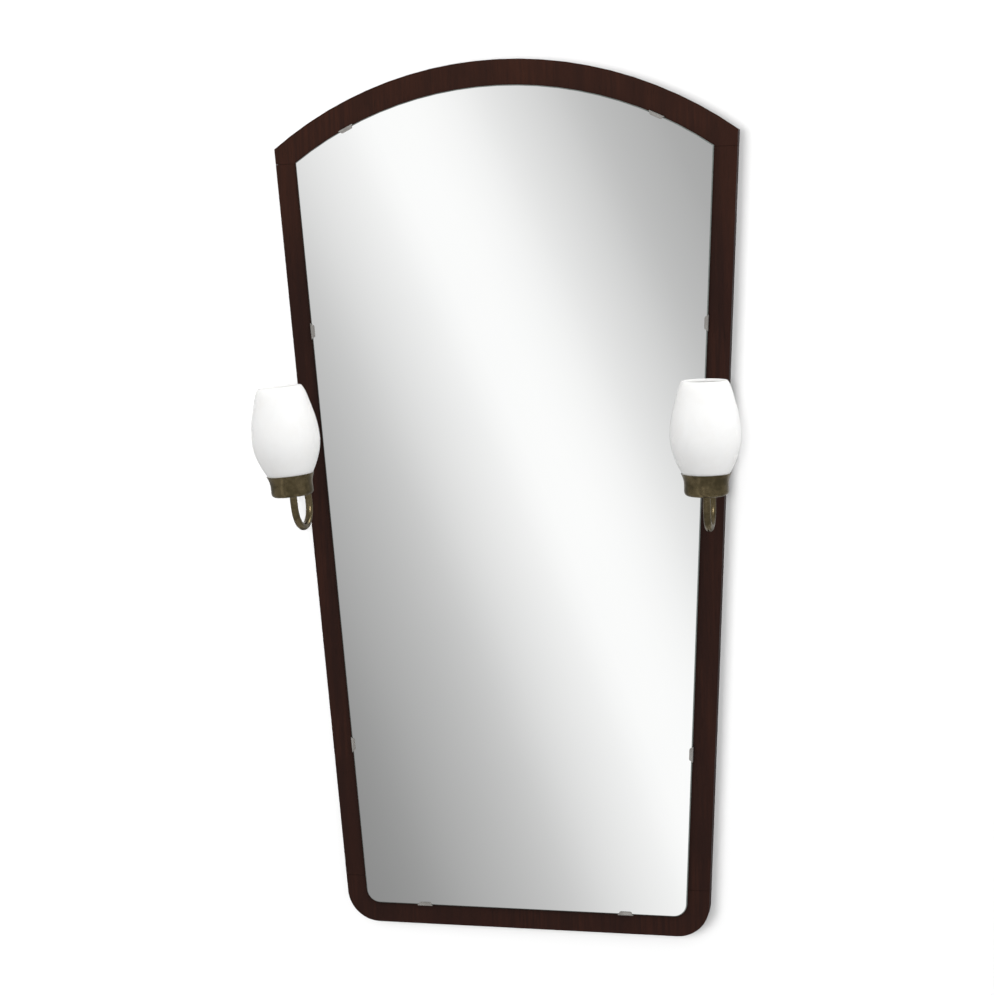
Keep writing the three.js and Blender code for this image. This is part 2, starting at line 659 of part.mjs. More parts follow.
// Cup: rounded bottom, straight wall, and a lip that flares outwards
function cupProfile() {
  const flare = new THREE.QuadraticBezierCurve(
    new THREE.Vector2(cupRadius, cupFlareStart),
    new THREE.Vector2(cupRadius, (cupFlareStart + cupHeight) / 2),
    new THREE.Vector2(cupLipRadius, cupHeight),
  ).getPoints(flareSteps).map(({ x, y }) => [x, y]);
  const corner = (radius) => Array.from({ length: cupCornerSteps + 1 }, (_, step) => {
    const angle = (step / cupCornerSteps - 1) * (Math.PI / 2);
    return [cupRadius - cupBottomRadius + radius * Math.cos(angle), cupBottomRadius + radius * Math.sin(angle)];
  });
  const holeRadius = turnedRadius + fitGap;
  const outer = [[holeRadius, 0], ...corner(cupBottomRadius), ...flare];
  const inner = [[holeRadius, cupWall], ...corner(cupBottomRadius - cupWall),
    ...flare.map(([r, z]) => [r - cupWall, z])];
  return { outer, inner, flare };
}

const cupLines = cupProfile();
const cup = turned([...cupLines.outer, ...cupLines.inner.reverse()]);

// Shade: a neck that follows the flare of the cup, a full body, and a drawn-in open rim
function shadeOutline() {
  const seat = cupLines.flare.map(([r, z]) => [r - cupWall - shadeSeatGap, z]);
  const neck = [[seat[0][0], shadeNeckHeight], ...seat];
  const [seatR, seatZ] = seat[seat.length - 1];
  const body = new THREE.SplineCurve([
    new THREE.Vector2(seatR, seatZ),
    ...shadeLine.map(([r, z]) => new THREE.Vector2(r * shadeRadius, z * shadeHeight)),
  ]).getPoints(shadeSteps).map(({ x, y }) => [x, y]);
  return [...neck, ...body.slice(1)];
}

// The same line moved inwards by the thickness of the wall
function offsetInwards(line, distance) {
  return line.map(([r, z], index) => {
    const [r0, z0] = line[Math.max(index - 1, 0)];
    const [r1, z1] = line[Math.min(index + 1, line.length - 1)];
    const length = Math.hypot(r1 - r0, z1 - z0);
    return [r - (distance * (z1 - z0)) / length, z + (distance * (r1 - r0)) / length];
  });
}

const shadeOuter = shadeOutline();
const shadeInner = offsetInwards(shadeOuter, shadeWall);
const rimTop = [(shadeOuter[shadeOuter.length - 1][0] + shadeInner[shadeInner.length - 1][0]) / 2, shadeHeight];
const shade = turned([...shadeOuter, rimTop, ...shadeInner.reverse()], shadeSides);

// Lampholder: skirt, sleeve, a bore for the bulb's cap, and a floor that sits on the tube's end
const holderBottom = cupWall + fitGap + cupNutHeight + fitGap;
const holderThread = turnedRadius + fitGap;
const holder = turned([[holderThread, holderBottom], [holderRadius, holderBottom],
  [holderRadius, holderSkirtHeight - 1], [holderSleeveRadius, holderSkirtHeight], [holderSleeveRadius, holderHeight],
  [holderBore, holderHeight], [holderBore, holderFloorHeight], [boreRadius, holderFloorHeight],
  [boreRadius, holderFloorHeight - holderFloorThickness], [holderThread, holderFloorHeight - holderFloorThickness]],
turnedSides);

// Bulb: a screw cap with its contact, and a flame-shaped glass cemented into it
const capBottom = holderFloorHeight + fitGap + capRest;
const capTop = capBottom + capHeight;
const recessFloor = capTop - capRecess;
const cap = turned([[0, capBottom], [capContactRadius, capBottom], [capRadius, capBottom + capTaper],
  [capRadius, capTop], [capRadius - capWall, capTop], [capRadius - capWall, recessFloor], [0, recessFloor]],
turnedSides);
const glassBottom = recessFloor + fitGap;
const stemRadius = capRadius - capWall - fitGap;
const flame = new THREE.SplineCurve([
  new THREE.Vector2(stemRadius, capTop),
  ...bulbLine.map(([r, z]) => new THREE.Vector2(r * bulbRadius, capTop + z * bulbHeight)),
]).getPoints(bulbSteps).map(({ x, y }) => [Math.max(x, 0), y]);
const bulb = turned([[0, glassBottom], [stemRadius, glassBottom], ...flame], turnedSides);

// Turned rosette, soldered to the tail where it meets the frame
const rosetteBore = tubeRadius + fitGap;
const rosette = turnedForward([[rosetteBore, fitGap], [rosetteRadius, fitGap], [rosetteRadius, fitGap + rosetteFlange],
  [rosetteNeck, fitGap + rosetteHeight], [rosetteBore, fitGap + rosetteHeight]], turnedSides);
const washerFront = frameThickness - pocketDepth + fitGap;
const washer = turnedForward([[rosetteBore, -washerFront - washerThickness], [washerRadius, -washerFront - washerThickness],
  [washerRadius, -washerFront], [rosetteBore, -washerFront]], turnedSides);
const tailNut = hexNut(tailNutHeight, rosetteBore).rotateX(-Math.PI / 2)
  .translate(0, washerFront + washerThickness + fitGap, 0);
const cupNut = hexNut(cupNutHeight, holderThread).translate(0, 0, cupWall + fitGap);

for (const [side, sign, tilt] of [["left", -1, leftArmTilt], ["right", 1, 0]]) {
  const arm = new THREE.Group();
  arm.position.set(sign * tailX, -frameThickness, tailHeight);
  arm.rotation.y = THREE.MathUtils.degToRad(tilt);
  mirror.add(arm);
  piece(arm, `${side}_arm_tube`, armTube, agedBrass());
  piece(arm, `${side}_rosette`, solid(rosette), agedBrass());
  piece(arm, `${side}_tail_washer`, solid(washer), steel());
  piece(arm, `${side}_tail_nut`, solid(tailNut), brightBrass());
  const lamp = new THREE.Group();
  lamp.position.set(0, -legFront, -cupDrop);
  arm.add(lamp);
  piece(lamp, `${side}_cup`, solid(cup), agedBrass());
  piece(lamp, `${side}_cup_nut`, solid(cupNut), brightBrass());
  piece(lamp, `${side}_lampholder`, solid(holder), bakelite());
  piece(lamp, `${side}_bulb_cap`, solid(cap), brightBrass());
  piece(lamp, `${side}_bulb`, solid(bulb), bulbGlass());
  piece(lamp, `${side}_shade`, solid(shade), opal());
}

// Route of a lead, with as many steps between any two of its points
class LeadRoute extends THREE.CatmullRomCurve3 {
  getUtoTmapping(u) {
    return u;
  }
}

// Internal leads: out of the tail, along the groove under the panel's edge, and across to the block
for (const [side, sign] of [["left", -1], ["right", 1]]) {
  const innerFace = sideX(tailHeight, stileWidth);
  const grooveDepth = pocketDepth - leadRadius - 2 * fitGap;
  const blockEnd = blockLength / 2 + fitGap;
  const points = [
    [tailX, tailEndDepth + leadBend, tailHeight],
    [tailX, tailEndDepth, tailHeight],
    [tailX - leadBend / 4, tailEndDepth - leadDip / 2, tailHeight],
    [tailX - leadBend, tailEndDepth - leadDip, tailHeight],
    [tailX - 2 * leadBend, tailEndDepth - leadDip / 2, tailHeight],
    [tailX - pocketRadius - leadBend, grooveDepth, tailHeight],
    [innerFace + rebateWidth, grooveDepth, tailHeight],
    [innerFace - rebateWidth, grooveDepth, tailHeight],
    [innerFace / 2, wireDepth, (tailHeight + blockHeight) / 2 - leadSag],
    [blockEnd + blockLength, wireDepth, blockHeight],
    [blockEnd, wireDepth, blockHeight],
  ].map(([x, depth, z]) => new THREE.Vector3(sign * x, -depth, z));
  const lead = tube(new LeadRoute(points), leadRadius, 0, leadSides, leadSteps * (points.length - 1));
  piece(frame, `${side}_lead`, lead, leadSheath());
}

// Origin on the wall, on the centre line, at the middle of the bottom rail
mirror.position.z = -railWidth / 2;
mirror.name = "girandole_mirror";

export default mirror;
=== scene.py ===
import json
import math

import bpy
from mathutils import Matrix, Vector

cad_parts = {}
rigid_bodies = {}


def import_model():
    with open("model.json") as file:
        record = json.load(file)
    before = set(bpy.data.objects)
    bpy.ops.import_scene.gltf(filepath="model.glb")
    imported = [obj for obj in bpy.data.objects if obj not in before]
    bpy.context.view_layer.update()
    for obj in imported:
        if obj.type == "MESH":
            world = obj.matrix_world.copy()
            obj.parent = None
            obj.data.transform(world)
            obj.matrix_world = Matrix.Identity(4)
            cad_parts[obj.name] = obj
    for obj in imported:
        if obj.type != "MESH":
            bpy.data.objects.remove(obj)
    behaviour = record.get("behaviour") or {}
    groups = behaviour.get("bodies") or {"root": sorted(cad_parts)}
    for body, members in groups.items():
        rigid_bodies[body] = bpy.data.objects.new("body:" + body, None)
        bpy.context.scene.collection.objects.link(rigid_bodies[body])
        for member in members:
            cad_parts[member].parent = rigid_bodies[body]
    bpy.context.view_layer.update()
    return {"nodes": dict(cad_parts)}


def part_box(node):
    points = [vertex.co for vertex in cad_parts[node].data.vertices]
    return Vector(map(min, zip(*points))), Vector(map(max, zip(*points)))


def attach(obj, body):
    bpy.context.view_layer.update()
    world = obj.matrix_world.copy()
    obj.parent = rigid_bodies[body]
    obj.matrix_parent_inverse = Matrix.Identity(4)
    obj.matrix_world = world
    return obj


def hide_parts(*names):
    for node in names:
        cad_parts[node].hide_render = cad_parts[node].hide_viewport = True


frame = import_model()
mm = 0.001
bothSides = ("left", "right")
clipPlaces = ("arch", "upper", "lower", "rail")
print("frame loaded")

# where each lamp stands: its tail leaves the frame's front here, and the lamp leans about the tail by its tilt
lampPlace = {"tailX": 257.083 * mm, "frontY": -20 * mm, "tailZ": 617 * mm, "reach": 102 * mm, "drop": 67.5 * mm,
             "leftTilt": -4.6, "rightTilt": 0}

# camera as fitted to the photograph, its angles in degrees
view = {"at": (0.53217, -2.34794, 0.87416), "turn": 13.311, "down": 8.138, "roll": -1.9546, "lens": 69.845,
        "farthest": 50}
turn, down, roll = (math.radians(view[key]) for key in ("turn", "down", "roll"))
ahead = Vector((-math.sin(turn) * math.cos(down), math.cos(turn) * math.cos(down), -math.sin(down)))
sideways = Vector((math.cos(turn), math.sin(turn), 0))
upright = sideways.cross(ahead)
across = math.cos(roll) * sideways + math.sin(roll) * upright
upwards = math.cos(roll) * upright - math.sin(roll) * sideways
bpy.ops.object.camera_add()
camera = bpy.context.object
camera.matrix_world = Matrix.Translation(view["at"]) @ Matrix((across, upwards, -ahead)).transposed().to_4x4()
camera.data.sensor_fit = "HORIZONTAL"
camera.data.lens = view["lens"]
camera.data.clip_end = view["farthest"]
bpy.context.scene.camera = camera
print("camera placed")

# how meshes are joined up: two welds in metres, and the angle in degrees under which faces are one
joining = {"weld": 1e-6, "weldAfterCut": 1.2e-4, "leadWeld": 1e-7, "flat": 1}
creaseFrom = 35              # degrees between two faces from which their edge is a crease
easedCreaseFrom = 50         # the same on pieces whose edges are eased


def nothingSelected():
    if bpy.context.object and bpy.context.object.mode != "OBJECT":
        bpy.ops.object.mode_set(mode="OBJECT")
    bpy.ops.object.select_all(action="DESELECT")


def alone(piece):
    nothingSelected()
    piece.select_set(True)
    bpy.context.view_layer.objects.active = piece


def thrownAway(piece):
    alone(piece)
    bpy.ops.object.delete()


def settled(piece):
    # the place goes into the mesh, the object stays at the origin
    alone(piece)
    bpy.ops.object.transform_apply(location=True, rotation=True, scale=True)


def welded(piece, within):
    # leaves the piece in edit mode with all of it selected
    alone(piece)
    bpy.ops.object.mode_set(mode="EDIT")
    bpy.ops.mesh.select_all(action="SELECT")
    bpy.ops.mesh.remove_doubles(threshold=within)


def tidied(piece, within=joining["weld"]):
    welded(piece, within)
    bpy.ops.mesh.normals_make_consistent(inside=False)
    bpy.ops.object.mode_set(mode="OBJECT")


def wholeFaces(piece, within=joining["weld"]):
    # loose triangles become flat faces again
    welded(piece, within)
    bpy.ops.mesh.dissolve_limited(angle_limit=math.radians(joining["flat"]))
    bpy.ops.object.mode_set(mode="OBJECT")


def smoothed(piece, degrees=creaseFrom):
    alone(piece)
    bpy.ops.object.shade_smooth_by_angle(angle=math.radians(degrees))


def withModifier(piece, kind, **settings):
    alone(piece)
    bpy.ops.object.modifier_add(type=kind)
    modifier = piece.modifiers[-1]
    for key, value in settings.items():
        setattr(modifier, key, value)
    bpy.ops.object.modifier_apply(modifier=modifier.name)


def withBevel(piece, width, segments=2, degrees=creaseFrom):
    withModifier(piece, "BEVEL", width=width * mm, segments=segments, limit_method="ANGLE",
                 angle_limit=math.radians(degrees))


def carved(piece, cutters):
    # every cutter is taken out of the piece and thrown away
    for cutter in cutters:
        withModifier(piece, "BOOLEAN", operation="DIFFERENCE", solver="EXACT", object=cutter)
        thrownAway(cutter)


def turnedPiece(name, rings, sides=64, startCap=False, endCap=False):
    # rings of (radius, height) in mm, drawn on from one to the next about the Z axis
    nothingSelected()
    radius, height = rings[0]
    bpy.ops.mesh.primitive_circle_add(vertices=sides, radius=radius * mm, location=(0, 0, height * mm),
                                      fill_type="NGON" if startCap else "NOTHING")
    piece = bpy.context.object
    piece.name = name
    bpy.ops.object.mode_set(mode="EDIT")
    bpy.ops.mesh.select_all(action="SELECT")
    for nextRadius, nextHeight in rings[1:]:
        step = (0, 0, (nextHeight - height) * mm)
        bpy.ops.mesh.extrude_edges_move(TRANSFORM_OT_translate={"value": step})
        bpy.ops.transform.resize(value=(nextRadius / radius, nextRadius / radius, 1))
        radius, height = nextRadius, nextHeight
    if endCap:
        bpy.ops.mesh.edge_face_add()
    bpy.ops.object.mode_set(mode="OBJECT")
    settled(piece)
    tidied(piece)
    return piece


def ringShape(name, rings, sides):
    # a turned piece whose line comes back to its start
    return turnedPiece(name, rings + rings[:1], sides)


def softened(nodeName, width, cutters=(), degrees=creaseFrom):
    # a copy of a piece of the frame, its facets joined up and its edges eased
    source = frame["nodes"][nodeName]
    piece = source.copy()
    piece.data = source.data.copy()
    piece.parent = None
    piece.name = nodeName + "_eased"
    bpy.context.scene.collection.objects.link(piece)
    wholeFaces(piece)
    if cutters:
        carved(piece, cutters)
        wholeFaces(piece, joining["weldAfterCut"])
    withBevel(piece, width, degrees=degrees)
    smoothed(piece, easedCreaseFrom)
    withModifier(piece, "WEIGHTED_NORMAL", keep_sharp=True)      # large faces stay flat beside eased edges
    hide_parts(nodeName)
    return piece


def copied(piece, name, place):
    twin = piece.copy()
    twin.data = piece.data.copy()
    twin.name = name
    bpy.context.scene.collection.objects.link(twin)
    twin.matrix_world = place
    settled(twin)
    return twin


def dressed(piece, material, body):
    piece.data.materials.clear()
    piece.data.materials.append(material)
    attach(piece, body)
    return piece


def signOf(side):
    return -1 if side == "left" else 1


def armFrame(side):
    tail = Vector((signOf(side) * lampPlace["tailX"], lampPlace["frontY"], lampPlace["tailZ"]))
    return Matrix.Translation(tail) @ Matrix.Rotation(math.radians(lampPlace[side + "Tilt"]), 4, "Y")


def lampFrame(side):
    return armFrame(side) @ Matrix.Translation((0, -lampPlace["reach"], -lampPlace["drop"]))


def onBothLamps(piece, material, body, placeOf):
    # one copy for each lamp, each standing for the frame's piece of the same name
    for side in bothSides:
        twin = copied(piece, f"{side}_{piece.name}_made", placeOf(side))
        smoothed(twin)
        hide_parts(f"{side}_{piece.name}")
        dressed(twin, material, f"{side}_{body}")
    thrownAway(piece)


def added(tree, kind, sockets=None, **settings):
    # a new node: its settings, then each socket's value or link
    made = tree.nodes.new(kind)
    for key, value in settings.items():
        setattr(made, key, value)
    for key, value in (sockets or {}).items():
        if isinstance(value, bpy.types.NodeSocket):
            tree.links.new(value, made.inputs[key])
        else:
            made.inputs[key].default_value = value
    return made


def worked(tree, operation, *values):
    return added(tree, "ShaderNodeMath", dict(enumerate(values)), operation=operation).outputs[0]


def mixed(tree, factor, first, second, blend="MIX"):
    first, second = (value if isinstance(value, bpy.types.NodeSocket) else (*value, 1) for value in (first, second))
    made = added(tree, "ShaderNodeMix", {"Factor": factor, 6: first, 7: second}, data_type="RGBA",
                 blend_type=blend)             # sockets 6 and 7 are the two colours
    return made.outputs[2]


def ranged(tree, value, low, high, newLow=0.0, newHigh=1.0):
    limits = {"Value": value, "From Min": low, "From Max": high, "To Min": newLow, "To Max": newHigh}
    return added(tree, "ShaderNodeMapRange", limits, interpolation_type="SMOOTHSTEP").outputs["Result"]


def spread(tree, value, low, high):
    # evenly from one value to the other
    return added(tree, "ShaderNodeMapRange", {"Value": value, "To Min": low, "To Max": high}).outputs["Result"]


def patches(tree, vector, scale, detail=4.0, roughness=0.55, distortion=0.0, stretch=(1, 1, 1), between=(0, 1),
            into=(0.0, 1.0)):
    # soft patches of noise, drawn out where they are a grain
    mapping = added(tree, "ShaderNodeMapping", {"Scale": stretch, "Vector": vector})
    made = added(tree, "ShaderNodeTexNoise", {"Scale": scale, "Detail": detail, "Roughness": roughness,
                                              "Distortion": distortion, "Vector": mapping.outputs["Vector"]})
    return ranged(tree, made.outputs["Fac"], *between, *into)


def newGroup(name, colors, numbers):
    # a skin: it takes a place, colours and numbers, and puts out colour, roughness and height
    group = bpy.data.node_groups.new(name, "ShaderNodeTree")
    group.interface.new_socket("Vector", in_out="INPUT", socket_type="NodeSocketVector")
    for label in colors:
        group.interface.new_socket(label, in_out="INPUT", socket_type="NodeSocketColor")
    for label, value in numbers.items():
        socket = group.interface.new_socket(label, in_out="INPUT", socket_type="NodeSocketFloat")
        socket.default_value = value
    group.interface.new_socket("Color", in_out="OUTPUT", socket_type="NodeSocketColor")
    for label in ("Roughness", "Height"):
        group.interface.new_socket(label, in_out="OUTPUT", socket_type="NodeSocketFloat")
    return group, group.nodes.new("NodeGroupInput"), group.nodes.new("NodeGroupOutput")


def groupUsed(tree, group, vector, **values):
    made = added(tree, "ShaderNodeGroup", node_tree=group)
    tree.links.new(vector, made.inputs["Vector"])
    for key, value in values.items():
        made.inputs[key].default_value = (*value, 1) if isinstance(value, tuple) else value
    return made


def newFinish(name):
    material = bpy.data.materials.new(name)
    material.use_nodes = True
    tree = material.node_tree
    shader = tree.nodes["Principled BSDF"]
    where = tree.nodes.new("ShaderNodeTexCoord").outputs["Object"]
    return material, tree, shader, where


def skinned(tree, shader, color, roughness, height, depth):
    # the skin's outputs go to the shader, its height as relief of the given depth in metres
    tree.links.new(color, shader.inputs["Base Color"])
    tree.links.new(roughness, shader.inputs["Roughness"])
    relief = added(tree, "ShaderNodeBump", {"Distance": depth, "Height": height})
    tree.links.new(relief.outputs["Normal"], shader.inputs["Normal"])


# veneer: its broad figure, streaks and pores are drawn out upwards
veneer = {"broad": {"scale": 62, "detail": 3, "roughness": 0.5, "distortion": 0.4, "stretch": (1, 1, 0.05),
                    "between": (0.36, 0.64)},
          "streak": {"scale": 260, "detail": 4, "roughness": 0.6, "distortion": 0.2, "stretch": (1, 1, 0.03),
                     "between": (0.4, 0.62)},
          "cloud": {"scale": 17, "detail": 5, "roughness": 0.6, "distortion": 0.6, "stretch": (1, 1, 0.5),
                    "between": (0.38, 0.66)},
          "pores": {"scale": 1500, "detail": 2, "roughness": 0.5, "stretch": (1, 1, 0.025),
                    "between": (0.60, 0.70)},
          "poreShade": 0.55, "poreColor": (0.004, 0.003, 0.002), "roughness": (0.36, 0.47),
          "palerFrom": 0.80, "palerTo": 0.90}            # heights in metres over which the veneer's colour turns paler upwards


def veneerGrainGroup():
    group, start, end = newGroup("veneerGrain", ("Dark", "Mid", "Warm"), {"Figure": 1.0})
    given = start.outputs
    broad, streak, cloud, pores = (patches(group, given["Vector"], **veneer[key])
                                   for key in ("broad", "streak", "cloud", "pores"))
    color = mixed(group, worked(group, "MULTIPLY", broad, given["Figure"]), given["Dark"], given["Mid"])
    color = mixed(group, worked(group, "MULTIPLY", streak, cloud), color, given["Warm"])
    color = mixed(group, worked(group, "MULTIPLY", pores, veneer["poreShade"]), color, veneer["poreColor"])
    group.links.new(color, end.inputs["Color"])
    group.links.new(ranged(group, cloud, 0, 1, *veneer["roughness"]), end.inputs["Roughness"])
    group.links.new(worked(group, "SUBTRACT", streak, pores), end.inputs["Height"])
    return group


# aged metal: clouds of tarnish, small specks and the rub of a cloth
metal = {"cloud": {"detail": 5, "roughness": 0.62, "between": (0.38, 0.64)},
         "specks": {"scale": 900, "detail": 3, "roughness": 0.6, "between": (0.60, 0.72)},
         "rub": {"scale": 420, "detail": 2, "roughness": 0.5, "stretch": (1, 1, 0.12), "between": (0.35, 0.7)}}


def agedMetalGroup():
    group, start, end = newGroup("agedMetal", ("Bright", "Dull", "Stain"),
                                 {"Clouds": 60.0, "Smooth": 0.25, "Rough": 0.5})
    given = start.outputs
    cloud = patches(group, given["Vector"], given["Clouds"], **metal["cloud"])
    specks = patches(group, given["Vector"], **metal["specks"])
    rub = patches(group, given["Vector"], **metal["rub"])
    color = mixed(group, cloud, given["Bright"], given["Dull"])
    group.links.new(mixed(group, specks, color, given["Stain"]), end.inputs["Color"])
    group.links.new(spread(group, cloud, given["Smooth"], given["Rough"]), end.inputs["Roughness"])
    group.links.new(worked(group, "SUBTRACT", rub, specks), end.inputs["Height"])
    return group


# smooth surfaces that are handled: faint smears and dust
handling = {"smear": {"scale": 34, "detail": 4, "roughness": 0.6, "distortion": 0.8, "between": (0.42, 0.68)},
            "dust": {"scale": 1200, "detail": 2, "roughness": 0.5, "between": (0.66, 0.76)}}


def handledGroup():
    group, start, end = newGroup("handled", ("Clean", "Dusty"), {"Smooth": 0.15, "Rough": 0.3})
    given = start.outputs
    smear = patches(group, given["Vector"], **handling["smear"])
    dust = patches(group, given["Vector"], **handling["dust"])
    group.links.new(mixed(group, smear, given["Clean"], given["Dusty"]), end.inputs["Color"])
    group.links.new(spread(group, smear, given["Smooth"], given["Rough"]), end.inputs["Roughness"])
    group.links.new(dust, end.inputs["Height"])
    return group


veneerGrain = veneerGrainGroup()
agedMetal = agedMetalGroup()
handled = handledGroup()


def woodFinish(name, dark, mid, warm, depth, gloss, figure=0.8, paler=(1, 1, 1)):
    # the veneer's colour is made paler above the shoulders, blending in between the two heights
    material, tree, shader, where = newFinish(name)
    grain = groupUsed(tree, veneerGrain, where, Dark=dark, Mid=mid, Warm=warm, Figure=figure)
    height = added(tree, "ShaderNodeSeparateXYZ", {0: where}).outputs["Z"]
    above = ranged(tree, height, veneer["palerFrom"], veneer["palerTo"])
    upper = mixed(tree, 1.0, grain.outputs["Color"], paler, "MULTIPLY")
    tone = mixed(tree, above, grain.outputs["Color"], upper)
    shader.inputs["Specular IOR Level"].default_value = gloss
    skinned(tree, shader, tone, grain.outputs["Roughness"], grain.outputs["Height"], depth)
    return material


def metalFinish(name, bright, dull, stain, clouds, smooth, rough, depth=2e-5):
    material, tree, shader, where = newFinish(name)
    skin = groupUsed(tree, agedMetal, where, Bright=bright, Dull=dull, Stain=stain, Clouds=clouds,
                     Smooth=smooth, Rough=rough)
    shader.inputs["Metallic"].default_value = 1
    skinned(tree, shader, skin.outputs["Color"], skin.outputs["Roughness"], skin.outputs["Height"], depth)
    return material


warmGlow = {"radius": (1, 0.95, 0.9), "scale": 0.01}         # how light spreads inside opal glass, in metres


def plainFinish(name, clean, dusty, smooth, rough, depth=1e-5, subsurface=0.0, coat=0.0, gloss=0.5):
    material, tree, shader, where = newFinish(name)
    skin = groupUsed(tree, handled, where, Clean=clean, Dusty=dusty, Smooth=smooth, Rough=rough)
    for key, value in (("Specular IOR Level", gloss), ("Subsurface Weight", subsurface), ("Coat Weight", coat),
                       ("Subsurface Radius", warmGlow["radius"]), ("Subsurface Scale", warmGlow["scale"])):
        shader.inputs[key].default_value = value
    skinned(tree, shader, skin.outputs["Color"], skin.outputs["Roughness"], skin.outputs["Height"], depth)
    return material


mahogany = woodFinish("mahoganyVeneer", dark=(0.0205, 0.0077, 0.0055), mid=(0.0260, 0.0090, 0.0059),
                      warm=(0.0325, 0.0107, 0.0065), depth=5e-5, gloss=0.1, paler=(1.3, 1.26, 1.14))
stainedEdge = woodFinish("stainedEdge", dark=(0.0150, 0.0058, 0.0042), mid=(0.0190, 0.0068, 0.0046),
                         warm=(0.0240, 0.0082, 0.0050), depth=5e-5, gloss=0.015, paler=(1.3, 1.25, 1.15))
plywood = woodFinish("barePlywood", dark=(0.25, 0.155, 0.080), mid=(0.33, 0.215, 0.118),
                     warm=(0.38, 0.245, 0.13), depth=1.5e-4, gloss=0.2)
agedBrass = metalFinish("agedBrass", bright=(0.195, 0.152, 0.083), dull=(0.100, 0.079, 0.041),
                        stain=(0.045, 0.040, 0.022), clouds=60, smooth=0.22, rough=0.40)
brightBrass = metalFinish("plainBrass", bright=(0.48, 0.35, 0.14), dull=(0.36, 0.26, 0.11),
                          stain=(0.16, 0.10, 0.04), clouds=90, smooth=0.25, rough=0.42)
nickel = metalFinish("dullNickel", bright=(0.50, 0.48, 0.455), dull=(0.42, 0.40, 0.375),
                     stain=(0.26, 0.24, 0.215), clouds=45, smooth=0.24, rough=0.34, depth=4e-6)
steel = metalFinish("plainSteel", bright=(0.42, 0.43, 0.44), dull=(0.30, 0.30, 0.31),
                    stain=(0.16, 0.12, 0.09), clouds=120, smooth=0.30, rough=0.48)
opal = plainFinish("opalGlass", clean=(0.90, 0.893, 0.876), dusty=(0.878, 0.868, 0.847), smooth=0.2, rough=0.32,
                   depth=4e-6, subsurface=0.5, gloss=0.12)
frosted = plainFinish("frostedBulb", clean=(0.86, 0.855, 0.83), dusty=(0.82, 0.81, 0.78), smooth=0.34,
                      rough=0.48, depth=4e-6, subsurface=0.2)
darkResin = plainFinish("darkResin", clean=(0.030, 0.022, 0.018), dusty=(0.042, 0.032, 0.026), smooth=0.22,
                        rough=0.38)
porcelain = plainFinish("porcelain", clean=(0.76, 0.73, 0.66), dusty=(0.66, 0.62, 0.54), smooth=0.2,
                        rough=0.34, coat=0.2)
rubber = plainFinish("rubber", clean=(0.022, 0.022, 0.022), dusty=(0.035, 0.034, 0.032), smooth=0.55,
                     rough=0.75, depth=3e-5)

# woven sheath of the leads, its threads crossing along the run
braid = {"clean": (0.56, 0.51, 0.42), "dusty": (0.42, 0.37, 0.30), "smooth": 0.6, "rough": 0.8, "threads": 700,
         "depth": 1.5e-4}


def braidFinish():
    material, tree, shader, where = newFinish("leadBraid")
    skin = groupUsed(tree, handled, where, Clean=braid["clean"], Dusty=braid["dusty"], Smooth=braid["smooth"],
                     Rough=braid["rough"])
    weave = added(tree, "ShaderNodeTexWave", {"Scale": braid["threads"], "Vector": where}, wave_type="BANDS",
                  bands_direction="DIAGONAL")
    skinned(tree, shader, skin.outputs["Color"], skin.outputs["Roughness"], weave.outputs["Fac"], braid["depth"])
    return material


leadBraid = braidFinish()

# silver behind clear glass, with the faintest smears
mirror = {"smears": {"scale": 7, "detail": 4, "roughness": 0.6, "distortion": 0.7, "between": (0.45, 0.75),
                     "into": (0.0, 0.012)},
          "tones": {"scale": 3, "detail": 2, "between": (0.3, 0.7)},
          "clear": (0.97, 0.975, 0.97), "grey": (0.955, 0.962, 0.958)}


def mirrorFinish():
    material, tree, shader, where = newFinish("silveredGlass")
    tree.links.new(patches(tree, where, **mirror["smears"]), shader.inputs["Roughness"])
    tint = mixed(tree, patches(tree, where, **mirror["tones"]), mirror["clear"], mirror["grey"])
    tree.links.new(tint, shader.inputs["Base Color"])
    shader.inputs["Metallic"].default_value = 1
    return material


# polished edge of the glass, with the green of its depth
glassEdge = {"tones": {"scale": 160, "detail": 3, "between": (0.35, 0.65)}, "pale": (0.34, 0.37, 0.35),
             "deep": (0.28, 0.31, 0.295), "metallic": 0.85, "roughness": 0.3}


def arrisFinish():
    material, tree, shader, where = newFinish("glassEdge")
    tint = mixed(tree, patches(tree, where, **glassEdge["tones"]), glassEdge["pale"], glassEdge["deep"])
    tree.links.new(tint, shader.inputs["Base Color"])
    shader.inputs["Metallic"].default_value = glassEdge["metallic"]
    shader.inputs["Roughness"].default_value = glassEdge["roughness"]
    return material


silver = mirrorFinish()
arris = arrisFinish()
print("finishes made")

# wooden frame in mm; faces that turn further than "veneered" from the front are stained edges
wood = {"edge": 0.18, "panelEdge": 0.3, "pocketRadius": 13.15, "pocketDepth": 11.0, "leftSides": 72,
        "rightSides": 80, "veneered": 0.5}


def pocketCutter(side):
    # bores the pocket for the tail's nut rounder than the solid has it
    nothingSelected()
    bpy.ops.mesh.primitive_cylinder_add(vertices=wood[side + "Sides"], radius=wood["pocketRadius"] * mm,
                                        depth=2 * wood["pocketDepth"] * mm,
                                        location=(signOf(side) * lampPlace["tailX"], 0, lampPlace["tailZ"]),
                                        rotation=(math.pi / 2, 0, 0))
    return bpy.context.object


